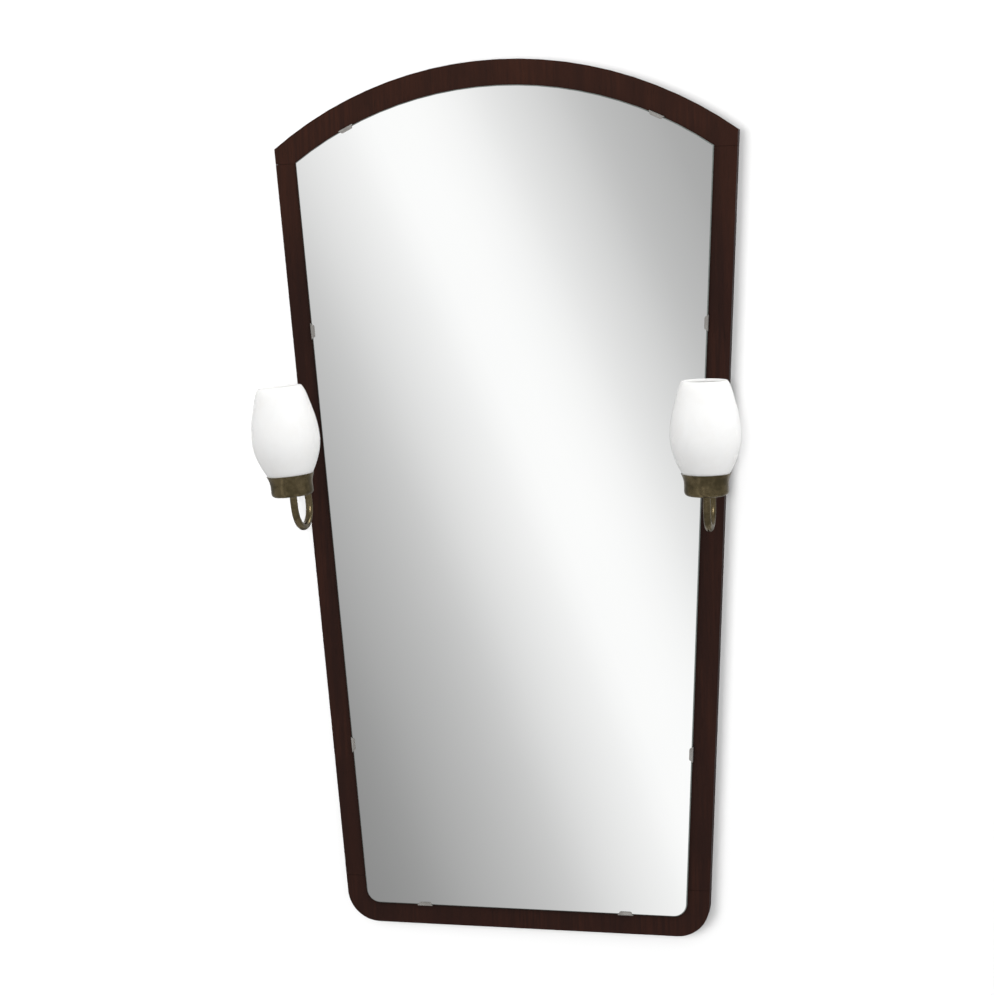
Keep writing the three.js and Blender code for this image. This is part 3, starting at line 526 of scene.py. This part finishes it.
for member in ("head_rail", "bottom_rail", "left_stile", "right_stile"):
    cutters = [pocketCutter(member.split("_")[0])] if "stile" in member else []
    made = dressed(softened(member, wood["edge"], cutters), mahogany, "frame")
    made.data.materials.append(stainedEdge)
    for face in made.data.polygons:
        face.material_index = 1 if abs(face.normal.y) < wood["veneered"] else 0
dressed(softened("back_panel", wood["panelEdge"]), plywood, "frame")
print("wood done")

# mirror glass: silver on its faces, the polished arris all round
sheet = {"edge": 0.12, "crease": 20, "flat": 0.99}
made = dressed(softened("mirror_glass", sheet["edge"], degrees=sheet["crease"]), silver, "frame")
made.data.materials.append(arris)
for face in made.data.polygons:
    if abs(face.normal.y) < sheet["flat"]:
        face.material_index = 1

# clips: the outer "tip" mm of each lip is drawn in by "shorter" mm
clip = {"tip": 2.8, "shorter": 2.2, "edge": 0.22, "crease": 40}


def lipDrawnIn(piece, screwName):
    # the lip over the glass ends a little nearer to the wood, as in the photograph
    low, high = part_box(screwName)
    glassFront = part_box("mirror_glass")[0][1]
    lip = [vertex for vertex in piece.data.vertices if vertex.co.y < glassFront]
    middle = sum((vertex.co for vertex in lip), Vector()) / len(lip)
    inward = Vector(((low[0] + high[0]) / 2 - middle.x, 0, (low[2] + high[2]) / 2 - middle.z)).normalized()
    farthest = max(vertex.co.dot(inward) for vertex in lip)
    tip = [vertex.index for vertex in lip if vertex.co.dot(inward) > farthest - clip["tip"] * mm]
    alone(piece)
    bpy.ops.object.mode_set(mode="EDIT")
    bpy.ops.mesh.select_mode(type="VERT")
    bpy.ops.mesh.select_all(action="DESELECT")
    bpy.ops.object.mode_set(mode="OBJECT")
    for index in tip:
        piece.data.vertices[index].select = True
    bpy.ops.object.mode_set(mode="EDIT")
    bpy.ops.transform.translate(value=tuple(-clip["shorter"] * mm * inward))
    bpy.ops.object.mode_set(mode="OBJECT")


for side in bothSides:
    for level in clipPlaces:
        made = softened(f"{side}_{level}_clip", clip["edge"], degrees=clip["crease"])
        lipDrawnIn(made, f"{side}_{level}_clip_screw")
        dressed(made, nickel, "frame")
print("glass and clips done")

# hanging plates on the back
plate = {"edge": 0.2, "crease": 50}
for side in bothSides:
    made = softened(f"{side}_hanging_plate", plate["edge"], degrees=plate["crease"])
    dressed(made, steel, "frame")

# wood screws in mm, turned about their axis with the head's seat at height 0: a round head for the panel, and a
# sunk one for the plates; "dome" is in shares of the head's radius and height
screw = {"headRadius": 3.75, "headHeight": 0.95, "dome": [(0.72, 1), (0.92, 0.82), (1, 0.45)], "seat": 0.02,
         "sunkHead": [(3.3, -0.02), (3.38, -0.12)], "sunkDepth": 1.7, "middle": 0.3, "shank": 1.58, "plain": 1.4,
         "root": 0.72, "valley": (0.3, 0.6), "pitch": 1.2, "point": 3.4, "taper": (0.8, 0.4), "tip": 0.05,
         "roundLength": 9.8, "sunkLength": 15.6, "slot": (9, 0.8, 0.9), "sides": 40, "proud": 0.04,
         "firstTurn": 0.3, "nextTurn": 0.77}


def screwMade(name, sunk):
    shank, pitch, root = screw["shank"], screw["pitch"], screw["shank"] * screw["root"]
    if sunk:
        line, length = screw["sunkHead"] + [(shank, -screw["sunkDepth"])], screw["sunkLength"]
    else:
        radius, top = screw["headRadius"], screw["headHeight"]
        line = [(radius * out, top * up) for out, up in screw["dome"]] + [(radius, screw["seat"]), (shank, 0)]
        length = screw["roundLength"]
    top, height = line[0][1], line[-1][1] - screw["plain"]
    rings = [(screw["middle"], top)] + line + [(shank, height)]
    while height > -length + screw["point"]:
        rings += [(root, height - pitch * share) for share in screw["valley"]] + [(shank, height - pitch)]
        height -= pitch
    rings += [(shank * screw["taper"][0], height - screw["taper"][1]), (screw["tip"], -length)]
    made = turnedPiece(name, rings, screw["sides"], startCap=True, endCap=True)
    nothingSelected()
    bpy.ops.mesh.primitive_cube_add(size=1, location=(0, 0, top * mm))
    slot = bpy.context.object
    slot.scale = tuple(length * mm for length in screw["slot"])
    settled(slot)
    carved(made, [slot])
    return made


def screwsPlaced(master, turns, seatBelow):
    # one copy at each of the frame's screws, its slot turned as a hand leaves it
    for name, turned in turns.items():
        low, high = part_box(name)
        spot = ((low[0] + high[0]) / 2, high[1] - seatBelow * mm, (low[2] + high[2]) / 2)
        lying = Matrix.Rotation(-math.pi / 2, 4, "X") @ Matrix.Rotation(turned, 4, "Z")
        twin = copied(master, name + "_made", Matrix.Translation(spot) @ lying)
        smoothed(twin)
        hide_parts(name)
        dressed(twin, steel, "frame")
    thrownAway(master)


panelPlaces = ("left_upper", "left_lower", "right_upper", "right_lower", "head", "rail")
screwsPlaced(screwMade("panel_screw", False),
             {f"{name}_panel_screw": screw["firstTurn"] + screw["nextTurn"] * index
              for index, name in enumerate(panelPlaces)}, screw["headHeight"] + screw["proud"])
screwsPlaced(screwMade("plate_screw", True),
             {"left_plate_lower_screw": 1.3, "left_plate_upper_screw": 2.4,
              "right_plate_lower_screw": 0.4, "right_plate_upper_screw": 1.5}, 0)

# rubber grommet in the back panel: radius and depth of its line, and its height on the frame, in mm
grommet = {"line": [(3.62, 0.75), (4.2, 0.62), (8.4, 0.62), (8.95, 1.0), (8.95, 1.8), (8.6, 2.16), (5.72, 2.16),
                    (5.72, 6.84), (8.6, 6.84), (8.95, 7.2), (8.95, 8.0), (8.5, 8.36), (4.2, 8.36), (3.62, 8.2)],
           "height": 556, "sides": 56}
made = ringShape("cable_grommet_made", grommet["line"], grommet["sides"])
made.matrix_world = Matrix.Translation((0, 0, grommet["height"] * mm)) @ Matrix.Rotation(math.pi / 2, 4, "X")
settled(made)
tidied(made)
smoothed(made)
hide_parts("cable_grommet")
dressed(made, rubber, "frame")
print("back done")

# lamp arm in mm, measured forwards from the frame's front: a threaded tail, a bend down, a U and the turned end
arm = {"tube": 4.5, "wall": 1.1, "straight": 27, "bend": 20, "standOff": 47, "legs": 55, "drop": 67.5,
       "below": 15.5, "tailStart": -15.6, "threadEnd": -6, "crest": 4.5, "root": 4.22, "halfPitch": 0.5,
       "runOut": 0.4, "bendSteps": 14, "loopSteps": 36, "shoulder": 0.35, "endRadius": 4.0, "endHeight": 15,
       "beyond": 0.3, "sides": 40}


def armMade():
    # from the tail's end forwards, down, round the U, and up into the cup; forwards is -Y
    nothingSelected()
    bpy.ops.mesh.primitive_circle_add(vertices=arm["sides"], radius=arm["root"] * mm,
                                      location=(0, -arm["tailStart"] * mm, 0), rotation=(math.pi / 2, 0, 0))
    piece = bpy.context.object
    piece.name = "arm_tube"
    bpy.ops.object.transform_apply(location=True, rotation=True, scale=True)
    bpy.ops.object.mode_set(mode="EDIT")
    bpy.ops.mesh.select_all(action="SELECT")
    here = arm["tailStart"]
    radius = arm["root"]

    def forwards(to, nextRadius):
        nonlocal here, radius
        bpy.ops.mesh.extrude_edges_move(TRANSFORM_OT_translate={"value": (0, -(to - here) * mm, 0)})
        bpy.ops.transform.resize(value=(nextRadius / radius, 1, nextRadius / radius))
        here, radius = to, nextRadius

    def up(height):
        bpy.ops.mesh.extrude_edges_move(TRANSFORM_OT_translate={"value": (0, 0, height * mm)})

    while here < arm["threadEnd"]:
        forwards(here + arm["halfPitch"], arm["crest"])
        forwards(here + arm["halfPitch"], arm["root"])
    forwards(here + arm["runOut"], arm["tube"])
    forwards(arm["straight"], arm["tube"])
    bpy.ops.mesh.spin(steps=arm["bendSteps"], angle=-math.pi / 2,
                      center=(0, -arm["straight"] * mm, -arm["bend"] * mm), axis=(1, 0, 0))
    lowest = -(arm["drop"] + arm["below"])
    up(lowest + arm["bend"])
    middle = arm["standOff"] + arm["legs"] / 2
    bpy.ops.mesh.spin(steps=arm["loopSteps"], angle=math.pi, center=(0, -middle * mm, lowest * mm),
                      axis=(1, 0, 0))
    up(arm["below"] - arm["shoulder"])
    up(0)
    thinner = arm["endRadius"] / arm["tube"]
    bpy.ops.transform.resize(value=(thinner, thinner, 1))
    up(arm["endHeight"] + arm["beyond"])
    bpy.ops.object.mode_set(mode="OBJECT")
    tidied(piece)
    withModifier(piece, "SOLIDIFY", thickness=arm["wall"] * mm, offset=-1)
    return piece


onBothLamps(armMade(), agedBrass, "arm", armFrame)

# rosette and washer on the tail: radius and place forwards of their lines, in mm
onTail = {"sides": 56,
          "rosette": [(4.82, 0.32), (8.7, 0.32), (8.97, 0.6), (8.97, 1.5), (8.7, 1.9), (7.9, 2.15), (7.2, 2.5),
                      (6.9, 3.2), (6.6, 4.3), (6.2, 5.0), (5.6, 5.25), (4.82, 5.28)],
          "washer": [(4.82, -10.48), (9.6, -10.48), (9.95, -10.2), (9.95, -9.6), (9.6, -9.32), (4.82, -9.32)]}


def forwardTurned(name, rings):
    # a turned piece whose heights run forwards, towards -Y
    piece = ringShape(name, rings, onTail["sides"])
    piece.matrix_world = Matrix.Rotation(math.pi / 2, 4, "X")
    settled(piece)
    return piece


onBothLamps(forwardTurned("rosette", onTail["rosette"]), agedBrass, "arm", armFrame)
onBothLamps(forwardTurned("tail_washer", onTail["washer"]), steel, "arm", armFrame)

# hexagon nuts in mm: "behind" is the tail nut's place behind the front, "above" the cup nut's above the cup's floor
nut = {"acrossFlats": 14, "fit": 0.995, "edge": 0.35, "segments": 3, "crease": 40, "boreSides": 48,
       "tail": {"height": 3.95, "bore": 4.85, "behind": 12.8}, "cup": {"height": 2.95, "bore": 4.35, "above": 2.8}}


def nutMade(name, size, place):
    nothingSelected()
    radius = nut["acrossFlats"] / math.sqrt(3) * nut["fit"] * mm
    bpy.ops.mesh.primitive_cylinder_add(vertices=6, radius=radius, depth=size["height"] * mm,
                                        rotation=(0, 0, math.radians(30)))
    made = bpy.context.object
    made.name = name
    settled(made)
    bpy.ops.mesh.primitive_cylinder_add(vertices=nut["boreSides"], radius=size["bore"] * mm,
                                        depth=3 * size["height"] * mm)
    carved(made, [bpy.context.object])
    withBevel(made, nut["edge"], nut["segments"], nut["crease"])
    made.matrix_world = place
    settled(made)
    return made


onBothLamps(nutMade("tail_nut", nut["tail"], Matrix.Translation((0, nut["tail"]["behind"] * mm, 0))
                    @ Matrix.Rotation(math.pi / 2, 4, "X")), brightBrass, "arm", armFrame)
onBothLamps(nutMade("cup_nut", nut["cup"], Matrix.Translation((0, 0, nut["cup"]["above"] * mm))),
            brightBrass, "arm", lampFrame)
print("arms done")

# cup in mm, from its floor up: a rounded corner, a straight wall and the flare out to the lip
cup = {"radius": 26, "lip": 29.4, "height": 26.3, "wall": 1.0, "corner": 5, "flareStart": 13, "hole": 4.32,
       "underside": 0.02, "cornerSteps": 8, "flareSteps": 10, "underLip": (0.08, 0.25),
       "easedLip": [(0.05, 0.12), (0.35, 0), (0.75, 0)], "sides": 96}


def flareAt(t):
    # the cup's side line, from the straight wall out to the lip
    middle = (cup["flareStart"] + cup["height"]) / 2
    radius = (1 - t) ** 2 * cup["radius"] + 2 * t * (1 - t) * cup["radius"] + t ** 2 * cup["lip"]
    height = (1 - t) ** 2 * cup["flareStart"] + 2 * t * (1 - t) * middle + t ** 2 * cup["height"]
    return radius, height


def cornerLine(reach):
    # the rounded corner between floor and wall, from the floor up
    middle = cup["radius"] - cup["corner"]
    angles = [-math.pi / 2 + step * math.pi / 2 / cup["cornerSteps"] for step in range(cup["cornerSteps"] + 1)]
    return [(middle + reach * math.cos(angle), cup["corner"] + reach * math.sin(angle)) for angle in angles]


def cupMade():
    flare = [flareAt(step / cup["flareSteps"]) for step in range(cup["flareSteps"] + 1)]
    corner = cornerLine(cup["corner"])
    inwards, below = cup["underLip"]
    outer = [(cup["hole"], cup["underside"]), (corner[0][0], cup["underside"])] + corner[1:] + flare[:-1]
    outer.append((flare[-1][0] - inwards, flare[-1][1] - below))
    lip = [(cup["lip"] - inwards, cup["height"] - below) for inwards, below in cup["easedLip"]]
    inner = [(radius - cup["wall"], height) for radius, height in flare[-2::-1]]
    inner += cornerLine(cup["corner"] - cup["wall"])[::-1] + [(cup["hole"], cup["wall"])]
    return ringShape("cup", outer + lip + inner, cup["sides"])


onBothLamps(cupMade(), agedBrass, "arm", lampFrame)

# shade in mm above the cup's floor; "line" is in shares of its radius and height, "rim" below its top
shade = {"height": 134.5, "radius": 41.6, "wall": 3.0, "neck": 7, "gap": 0.35, "neckEase": (0.4, 0.5),
         "footEase": 0.8, "seatSteps": 6, "spanSteps": 5, "sides": 96,
         "rim": {"outer": 0.6, "inner": 0.5, "edge": 0.45, "top": 0.05},
         "line": [(0.832, 0.295), (0.958, 0.41), (1, 0.52), (0.968, 0.655), (0.878, 0.785), (0.752, 0.93),
                  (0.662, 0.99)]}


def curveThrough(points, perSpan):
    # a smooth line through the given points
    line = []
    last = len(points) - 1
    for index in range(last):
        before, start, stop, after = (Vector(points[min(max(index + k, 0), last)]) for k in (-1, 0, 1, 2))
        for step in range(perSpan):
            t = step / perSpan
            line.append(tuple(0.5 * (2 * start + (stop - before) * t
                                     + (2 * before - 5 * start + 4 * stop - after) * t ** 2
                                     + (3 * start - before - 3 * stop + after) * t ** 3)))
    return line + [tuple(points[-1])]


def offsetLine(line, distance):
    # the same line again, nearer to the axis by the wall's thickness
    moved = []
    for index, (radius, height) in enumerate(line):
        back, on = line[max(index - 1, 0)], line[min(index + 1, len(line) - 1)]
        run = math.hypot(on[0] - back[0], on[1] - back[1])
        moved.append((radius - distance * (on[1] - back[1]) / run, height + distance * (on[0] - back[0]) / run))
    return moved


def shadeMade():
    flare = [flareAt(step / shade["seatSteps"]) for step in range(shade["seatSteps"] + 1)]
    seat = [(radius - cup["wall"] - shade["gap"], height) for radius, height in flare]
    inwards, above = shade["neckEase"]
    neck = [(seat[0][0] - inwards, shade["neck"]), (seat[0][0], shade["neck"] + above)] + seat[:-1]
    belly = [(out * shade["radius"], up * shade["height"]) for out, up in shade["line"]]
    outer = neck + curveThrough([seat[-1]] + belly, shade["spanSteps"])
    inner = offsetLine(outer, shade["wall"])
    inner[0] = (outer[0][0] - shade["wall"] + shade["footEase"], shade["neck"])
    topOuter, topInner, rim = outer[-1][0], inner[-1][0], shade["rim"]
    mouth = [(topOuter - rim["outer"], shade["height"] - rim["edge"]),
             ((topOuter + topInner) / 2, shade["height"] - rim["top"]),
             (topInner + rim["inner"], shade["height"] - rim["edge"])]
    return ringShape("shade", outer + mouth + inner[::-1], shade["sides"])


onBothLamps(shadeMade(), opal, "shade_lift", lampFrame)
print("cups and shades done")

# lampholder in mm above the cup's floor: a skirt with finger grooves and a threaded sleeve
holder = {"bottom": 4.6, "skirt": 13.45, "ease": 0.6, "grooves": (7.0, 9.0, 11.0, 13.0), "groove": 0.5,
          "step": 20, "stepEase": 1, "sleeve": 12.55, "threadFrom": 24.0, "threadTo": 50, "pitch": 1.6,
          "threadDepth": 0.5, "top": 54, "topEase": (0.7, 1.2), "bore": 7.65, "boreEase": 0.5, "floor": 28,
          "floorDepth": 11, "thread": 4.32, "wireWay": 3.05, "sides": 64}


def holderMade():
    skirt, sleeve, bore, groove = (holder[key] for key in ("skirt", "sleeve", "bore", "groove"))
    bottom, top, under = holder["bottom"], holder["top"], holder["floor"] - holder["floorDepth"]
    rings = [(holder["thread"], bottom), (skirt - holder["ease"], bottom), (skirt, bottom + holder["ease"])]
    for height in holder["grooves"]:
        rings += [(skirt, height), (skirt - groove, height + groove), (skirt, height + 2 * groove)]
    rings += [(skirt, holder["step"] - holder["stepEase"]), (sleeve, holder["step"])]
    height = holder["threadFrom"]
    while height < holder["threadTo"]:
        rings += [(sleeve, height), (sleeve - holder["threadDepth"], height + holder["pitch"] / 2)]
        height += holder["pitch"]
    inwards, below = holder["topEase"]
    rings += [(sleeve, top - below), (sleeve - inwards, top), (bore + holder["boreEase"], top),
              (bore, top - holder["boreEase"]), (bore, holder["floor"]), (holder["wireWay"], holder["floor"]),
              (holder["wireWay"], under), (holder["thread"], under)]
    return ringShape("lampholder", rings, holder["sides"])


onBothLamps(holderMade(), darkResin, "arm", lampFrame)

# bulb in mm above the cup's floor: "contact", "turn" and "rim" are offsets inwards and up or down, "line" is the
# glass in shares of its radius and height
bulb = {"capBottom": 29.3, "capHeight": 25.5, "capRadius": 6.88, "capSides": 56, "wall": 0.7, "middle": 0.4,
        "contact": [(0.3, 0.05), (0, 0.5)], "contactRadius": 2.6, "floor": 0.02, "taper": (0.9, 4),
        "turnStart": 0.3, "turn": [(0.75, 0), (0.15, 0.8), (0.15, 1.3), (0.75, 2.1)], "pitch": 2.8,
        "turnsEnd": 6, "rim": [(0.5, 3), (0, 2.4), (0, 0.1), (0.7, 0.1)], "recess": 6, "gap": 0.32,
        "stemEase": (0.4, 0.8), "tip": 0.15, "radius": 17.4, "height": 50, "spanSteps": 6, "sides": 64,
        "line": [(0.66, 0.19), (1, 0.47), (0.82, 0.74), (0.38, 0.94), (0, 0.998)]}
bulbTop = bulb["capBottom"] + bulb["capHeight"]
recessFloor = bulbTop - bulb["recess"]


def capMade():
    radius, bottom = bulb["capRadius"], bulb["capBottom"]
    inwards, rise = bulb["taper"]
    rings = [(bulb["middle"], bottom + bulb["floor"])]
    rings += [(bulb["contactRadius"] - aside, bottom + up) for aside, up in bulb["contact"]]
    rings.append((radius - inwards, bottom + rise))
    height = bottom + rise + bulb["turnStart"]
    while height < bulbTop - bulb["turnsEnd"]:           # rolled thread
        rings += [(radius - aside, height + up) for aside, up in bulb["turn"]]
        height += bulb["pitch"]
    rings += [(radius - aside, bulbTop - down) for aside, down in bulb["rim"]]
    rings += [(radius - bulb["wall"], recessFloor + bulb["floor"]), (bulb["middle"], recessFloor + bulb["floor"])]
    return turnedPiece("bulb_cap", rings, bulb["capSides"], startCap=True, endCap=True)


def bulbMade():
    stem = bulb["capRadius"] - bulb["wall"] - bulb["gap"]
    inwards, rise = bulb["stemEase"]
    belly = [(out * bulb["radius"], bulbTop + up * bulb["height"]) for out, up in bulb["line"]]
    flame = curveThrough([(stem, bulbTop)] + belly, bulb["spanSteps"])
    rings = [(bulb["middle"], recessFloor + bulb["gap"]), (stem - inwards, recessFloor + bulb["gap"]),
             (stem, recessFloor + rise)] + flame[:-1] + [(bulb["tip"], flame[-1][1])]
    return turnedPiece("bulb", rings, bulb["sides"], startCap=True, endCap=True)


onBothLamps(capMade(), brightBrass, "bulb_lift", lampFrame)
onBothLamps(bulbMade(), frosted, "bulb_lift", lampFrame)
print("holders and bulbs done")

# leads in mm: (x, depth) from the tail's axis and from the stile's inner face, then (x, depth, height) to the block
lead = {"radius": 1.2, "fit": 0.97, "rounding": 4, "spanSteps": 6,
        "outOfTail": [(0, 8.4), (0, 4.4), (-1, 3.1), (-4, 1.8), (-8, 3.1), (-17, 9.2)],
        "intoGroove": [(10, 9.2), (-10, 9.2)], "halfWay": (12.8, 603),
        "toBlock": [(45.3, 12.8, 601), (15.3, 12.8, 601)]}
# the stile's outer face stands "topX" from the middle at the shoulders and "footX" at the foot, "rise" below
stile = {"topX": 290, "footX": 236, "rise": 1004, "width": 62, "tailAboveFoot": 648}


def leadMade(side):
    slope = (stile["topX"] - stile["footX"]) / stile["rise"]
    innerFace = stile["footX"] + slope * stile["tailAboveFoot"] - stile["width"] / math.cos(math.atan(slope))
    tailX, tailZ = lampPlace["tailX"] / mm, lampPlace["tailZ"] / mm
    points = [(tailX + x, depth, tailZ) for x, depth in lead["outOfTail"]]
    points += [(innerFace + x, depth, tailZ) for x, depth in lead["intoGroove"]]
    points += [(innerFace / 2, *lead["halfWay"])] + lead["toBlock"]
    nothingSelected()
    bpy.ops.curve.primitive_nurbs_path_add()
    bpy.ops.object.mode_set(mode="EDIT")
    bpy.ops.curve.select_all(action="SELECT")
    bpy.ops.curve.delete(type="VERT")
    bpy.ops.object.mode_set(mode="OBJECT")
    path = bpy.context.object
    spline = path.data.splines.new("POLY")
    line = curveThrough(points, lead["spanSteps"])
    spline.points.add(len(line) - 1)
    for point, (x, depth, z) in zip(spline.points, line):
        point.co = (signOf(side) * x * mm, -depth * mm, z * mm, 1)
    path.data.bevel_depth = lead["radius"] * lead["fit"] * mm
    path.data.bevel_resolution = lead["rounding"]
    path.data.use_fill_caps = True
    path.location = (0, 0, 0)
    bpy.ops.object.convert(target="MESH")
    made = bpy.context.object
    made.name = f"{side}_lead_made"
    settled(made)
    tidied(made, joining["leadWeld"])
    smoothed(made, easedCreaseFrom)
    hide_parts(f"{side}_lead")
    dressed(made, leadBraid, "frame")


for side in bothSides:
    leadMade(side)
print("leads done")

# hidden pieces keep their solids and take a finish
plainPieces = {"terminal_block": porcelain, "terminal_block_screw": steel}
for side in bothSides:
    for level in clipPlaces:
        plainPieces[f"{side}_{level}_clip_screw"] = steel
for name, material in plainPieces.items():
    data = frame["nodes"][name].data
    data.materials.clear()
    data.materials.append(material)

# the glass shows the studio and not the lamps, as in the photograph
lampWords = ("arm_tube", "rosette", "cup", "shade", "bulb", "holder")
for piece in bpy.data.objects:
    if piece.type == "MESH" and any(word in piece.name for word in lampWords):
        piece.visible_glossy = False

# studio that the glass shows: greys along a direction slanting up to the right, from -1 to 1
studio = {"slantX": 0.9205, "slantZ": 0.3907, "greys": [
    (-1.0, 0.5), (-0.80, 0.40), (-0.70, 0.55), (-0.62, 0.84), (-0.55, 0.58), (-0.48, 0.28), (-0.42, 0.24),
    (-0.36, 0.37), (-0.30, 0.64), (-0.255, 0.92), (-0.225, 1.0), (-0.19, 0.85), (-0.15, 0.60), (-0.11, 0.43),
    (-0.03, 0.34), (0.06, 0.38), (0.14, 0.66), (0.20, 0.88), (0.26, 0.70), (0.34, 0.44), (0.46, 0.36),
    (0.7, 0.48)]}
# the key lights the object alone, the other two light the wall alone
light = {"around": 1.2,
         "key": {"at": (2.5, -2.6, 3.0), "size": 1.6, "watts": 50, "aim": (0, -0.1, 0.6)},
         "wallLeft": {"at": (-1.1, -3.2, 0.95), "size": 1.7, "watts": 102, "aim": (0.1, 0, 0.5)},
         "wallNear": {"at": (0.5, -3.2, 1.0), "size": 0.4, "watts": 44, "aim": (0.1, 0, 0.5)}}
world = bpy.data.worlds.new("studio")
bpy.context.scene.world = world
world.use_nodes = True
tree = world.node_tree
tree.nodes.clear()
ray = tree.nodes.new("ShaderNodeLightPath")
towards = added(tree, "ShaderNodeSeparateXYZ", {0: tree.nodes.new("ShaderNodeTexCoord").outputs["Generated"]})
slant = worked(tree, "MULTIPLY", towards.outputs["X"], studio["slantX"])
rise = worked(tree, "MULTIPLY_ADD", towards.outputs["Z"], studio["slantZ"], slant)
sweep = added(tree, "ShaderNodeMapRange", {"Value": rise, "From Min": -1, "From Max": 1})
ramp = added(tree, "ShaderNodeValToRGB", {"Fac": sweep.outputs["Result"]})
ramp.color_ramp.interpolation = "CARDINAL"
stops = ramp.color_ramp.elements
for index, (at, grey) in enumerate(studio["greys"]):
    stop = stops[0] if index == 0 else stops.new((at + 1) / 2)
    stop.position = (at + 1) / 2
    stop.color = (grey, grey, grey, 1)
stops.remove(stops[-1])
white = (1, 1, 1, 1)
around = added(tree, "ShaderNodeBackground", {"Color": white, "Strength": light["around"]})
shown = added(tree, "ShaderNodeBackground", {"Color": white})
glossy = added(tree, "ShaderNodeBackground", {"Color": ramp.outputs["Color"]})
lit = added(tree, "ShaderNodeMixShader", {"Fac": ray.outputs["Is Glossy Ray"], 1: around.outputs[0],
                                          2: glossy.outputs[0]})
seen = worked(tree, "MAXIMUM", ray.outputs["Is Camera Ray"], ray.outputs["Is Transmission Ray"])
both = added(tree, "ShaderNodeMixShader", {"Fac": seen, 1: lit.outputs[0], 2: shown.outputs[0]})
added(tree, "ShaderNodeOutputWorld", {"Surface": both.outputs[0]})

for name in ("key", "wallLeft", "wallNear"):
    values = light[name]
    nothingSelected()
    aim = (Vector(values["aim"]) - Vector(values["at"])).to_track_quat("-Z", "Y").to_euler()
    bpy.ops.object.light_add(type="AREA", location=values["at"], rotation=aim)
    lamp = bpy.context.object
    lamp.name = name
    lamp.data.size = values["size"]
    lamp.data.energy = values["watts"]
    lamp.visible_glossy = name == "key"
print("lights placed")


def paleFinish(name, grey, glow=0.0, openBehind=False):
    # a pale surface that glows for the camera alone and keeps its soft shadow; an open back shows what it covers
    material = bpy.data.materials.new(name)
    material.use_nodes = True
    tree = material.node_tree
    tree.nodes.clear()
    body = added(tree, "ShaderNodeBsdfDiffuse", {"Color": (grey, grey, grey, 1)})
    ray = tree.nodes.new("ShaderNodeLightPath")
    strength = worked(tree, "MULTIPLY", ray.outputs["Is Camera Ray"], glow)
    glowing = added(tree, "ShaderNodeEmission", {"Strength": strength})
    result = added(tree, "ShaderNodeAddShader", {0: body.outputs[0], 1: glowing.outputs[0]}).outputs[0]
    if openBehind:
        clear = tree.nodes.new("ShaderNodeBsdfTransparent").outputs[0]
        back = tree.nodes.new("ShaderNodeNewGeometry").outputs["Backfacing"]
        result = added(tree, "ShaderNodeMixShader", {"Fac": back, 1: result, 2: clear}).outputs[0]
    added(tree, "ShaderNodeOutputMaterial", {"Surface": result})
    return material


# wall and floor in metres
room = {"wallSize": 9, "wallAt": (0, 2 * mm, 0.6), "wallGrey": 0.55, "floorSize": 30, "floorAt": (0, 0, -0.42),
        "floorGrey": 0.45, "floorGlow": 0.45}
nothingSelected()
bpy.ops.mesh.primitive_plane_add(size=room["wallSize"], location=room["wallAt"], rotation=(math.pi / 2, 0, 0))
wall = bpy.context.object
wall.name = "wall"
settled(wall)
wall.data.materials.append(paleFinish("paleWall", room["wallGrey"], openBehind=True))
for rays in ("diffuse", "glossy", "transmission", "shadow", "volume_scatter"):
    setattr(wall, "visible_" + rays, False)
nothingSelected()
bpy.ops.mesh.primitive_plane_add(size=room["floorSize"], location=room["floorAt"])
floor = bpy.context.object
floor.name = "floor"
settled(floor)
floor.data.materials.append(paleFinish("paleFloor", room["floorGrey"], room["floorGlow"]))
floor.visible_glossy = False

# the wall has lights of its own, so that its soft shadow falls to the right although the key stands there
onlyWall, allButWall, noLamps = (bpy.data.collections.new(name) for name in ("onlyWall", "allButWall", "noLamps"))
onlyWall.objects.link(wall)
allButWall.objects.link(wall)
for piece in bpy.data.objects:
    if piece.type == "MESH" and not piece.visible_glossy and piece not in (wall, floor):
        noLamps.objects.link(piece)
for group in (allButWall, noLamps):
    for linked in group.collection_objects:
        linked.light_linking.link_state = "EXCLUDE"
for name, receivers in (("key", allButWall), ("wallLeft", onlyWall), ("wallNear", onlyWall)):
    bpy.data.objects[name].light_linking.receiver_collection = receivers
bpy.data.objects["wallLeft"].light_linking.blocker_collection = noLamps

bpy.context.scene.view_settings.view_transform = "Standard"
print("scene done")
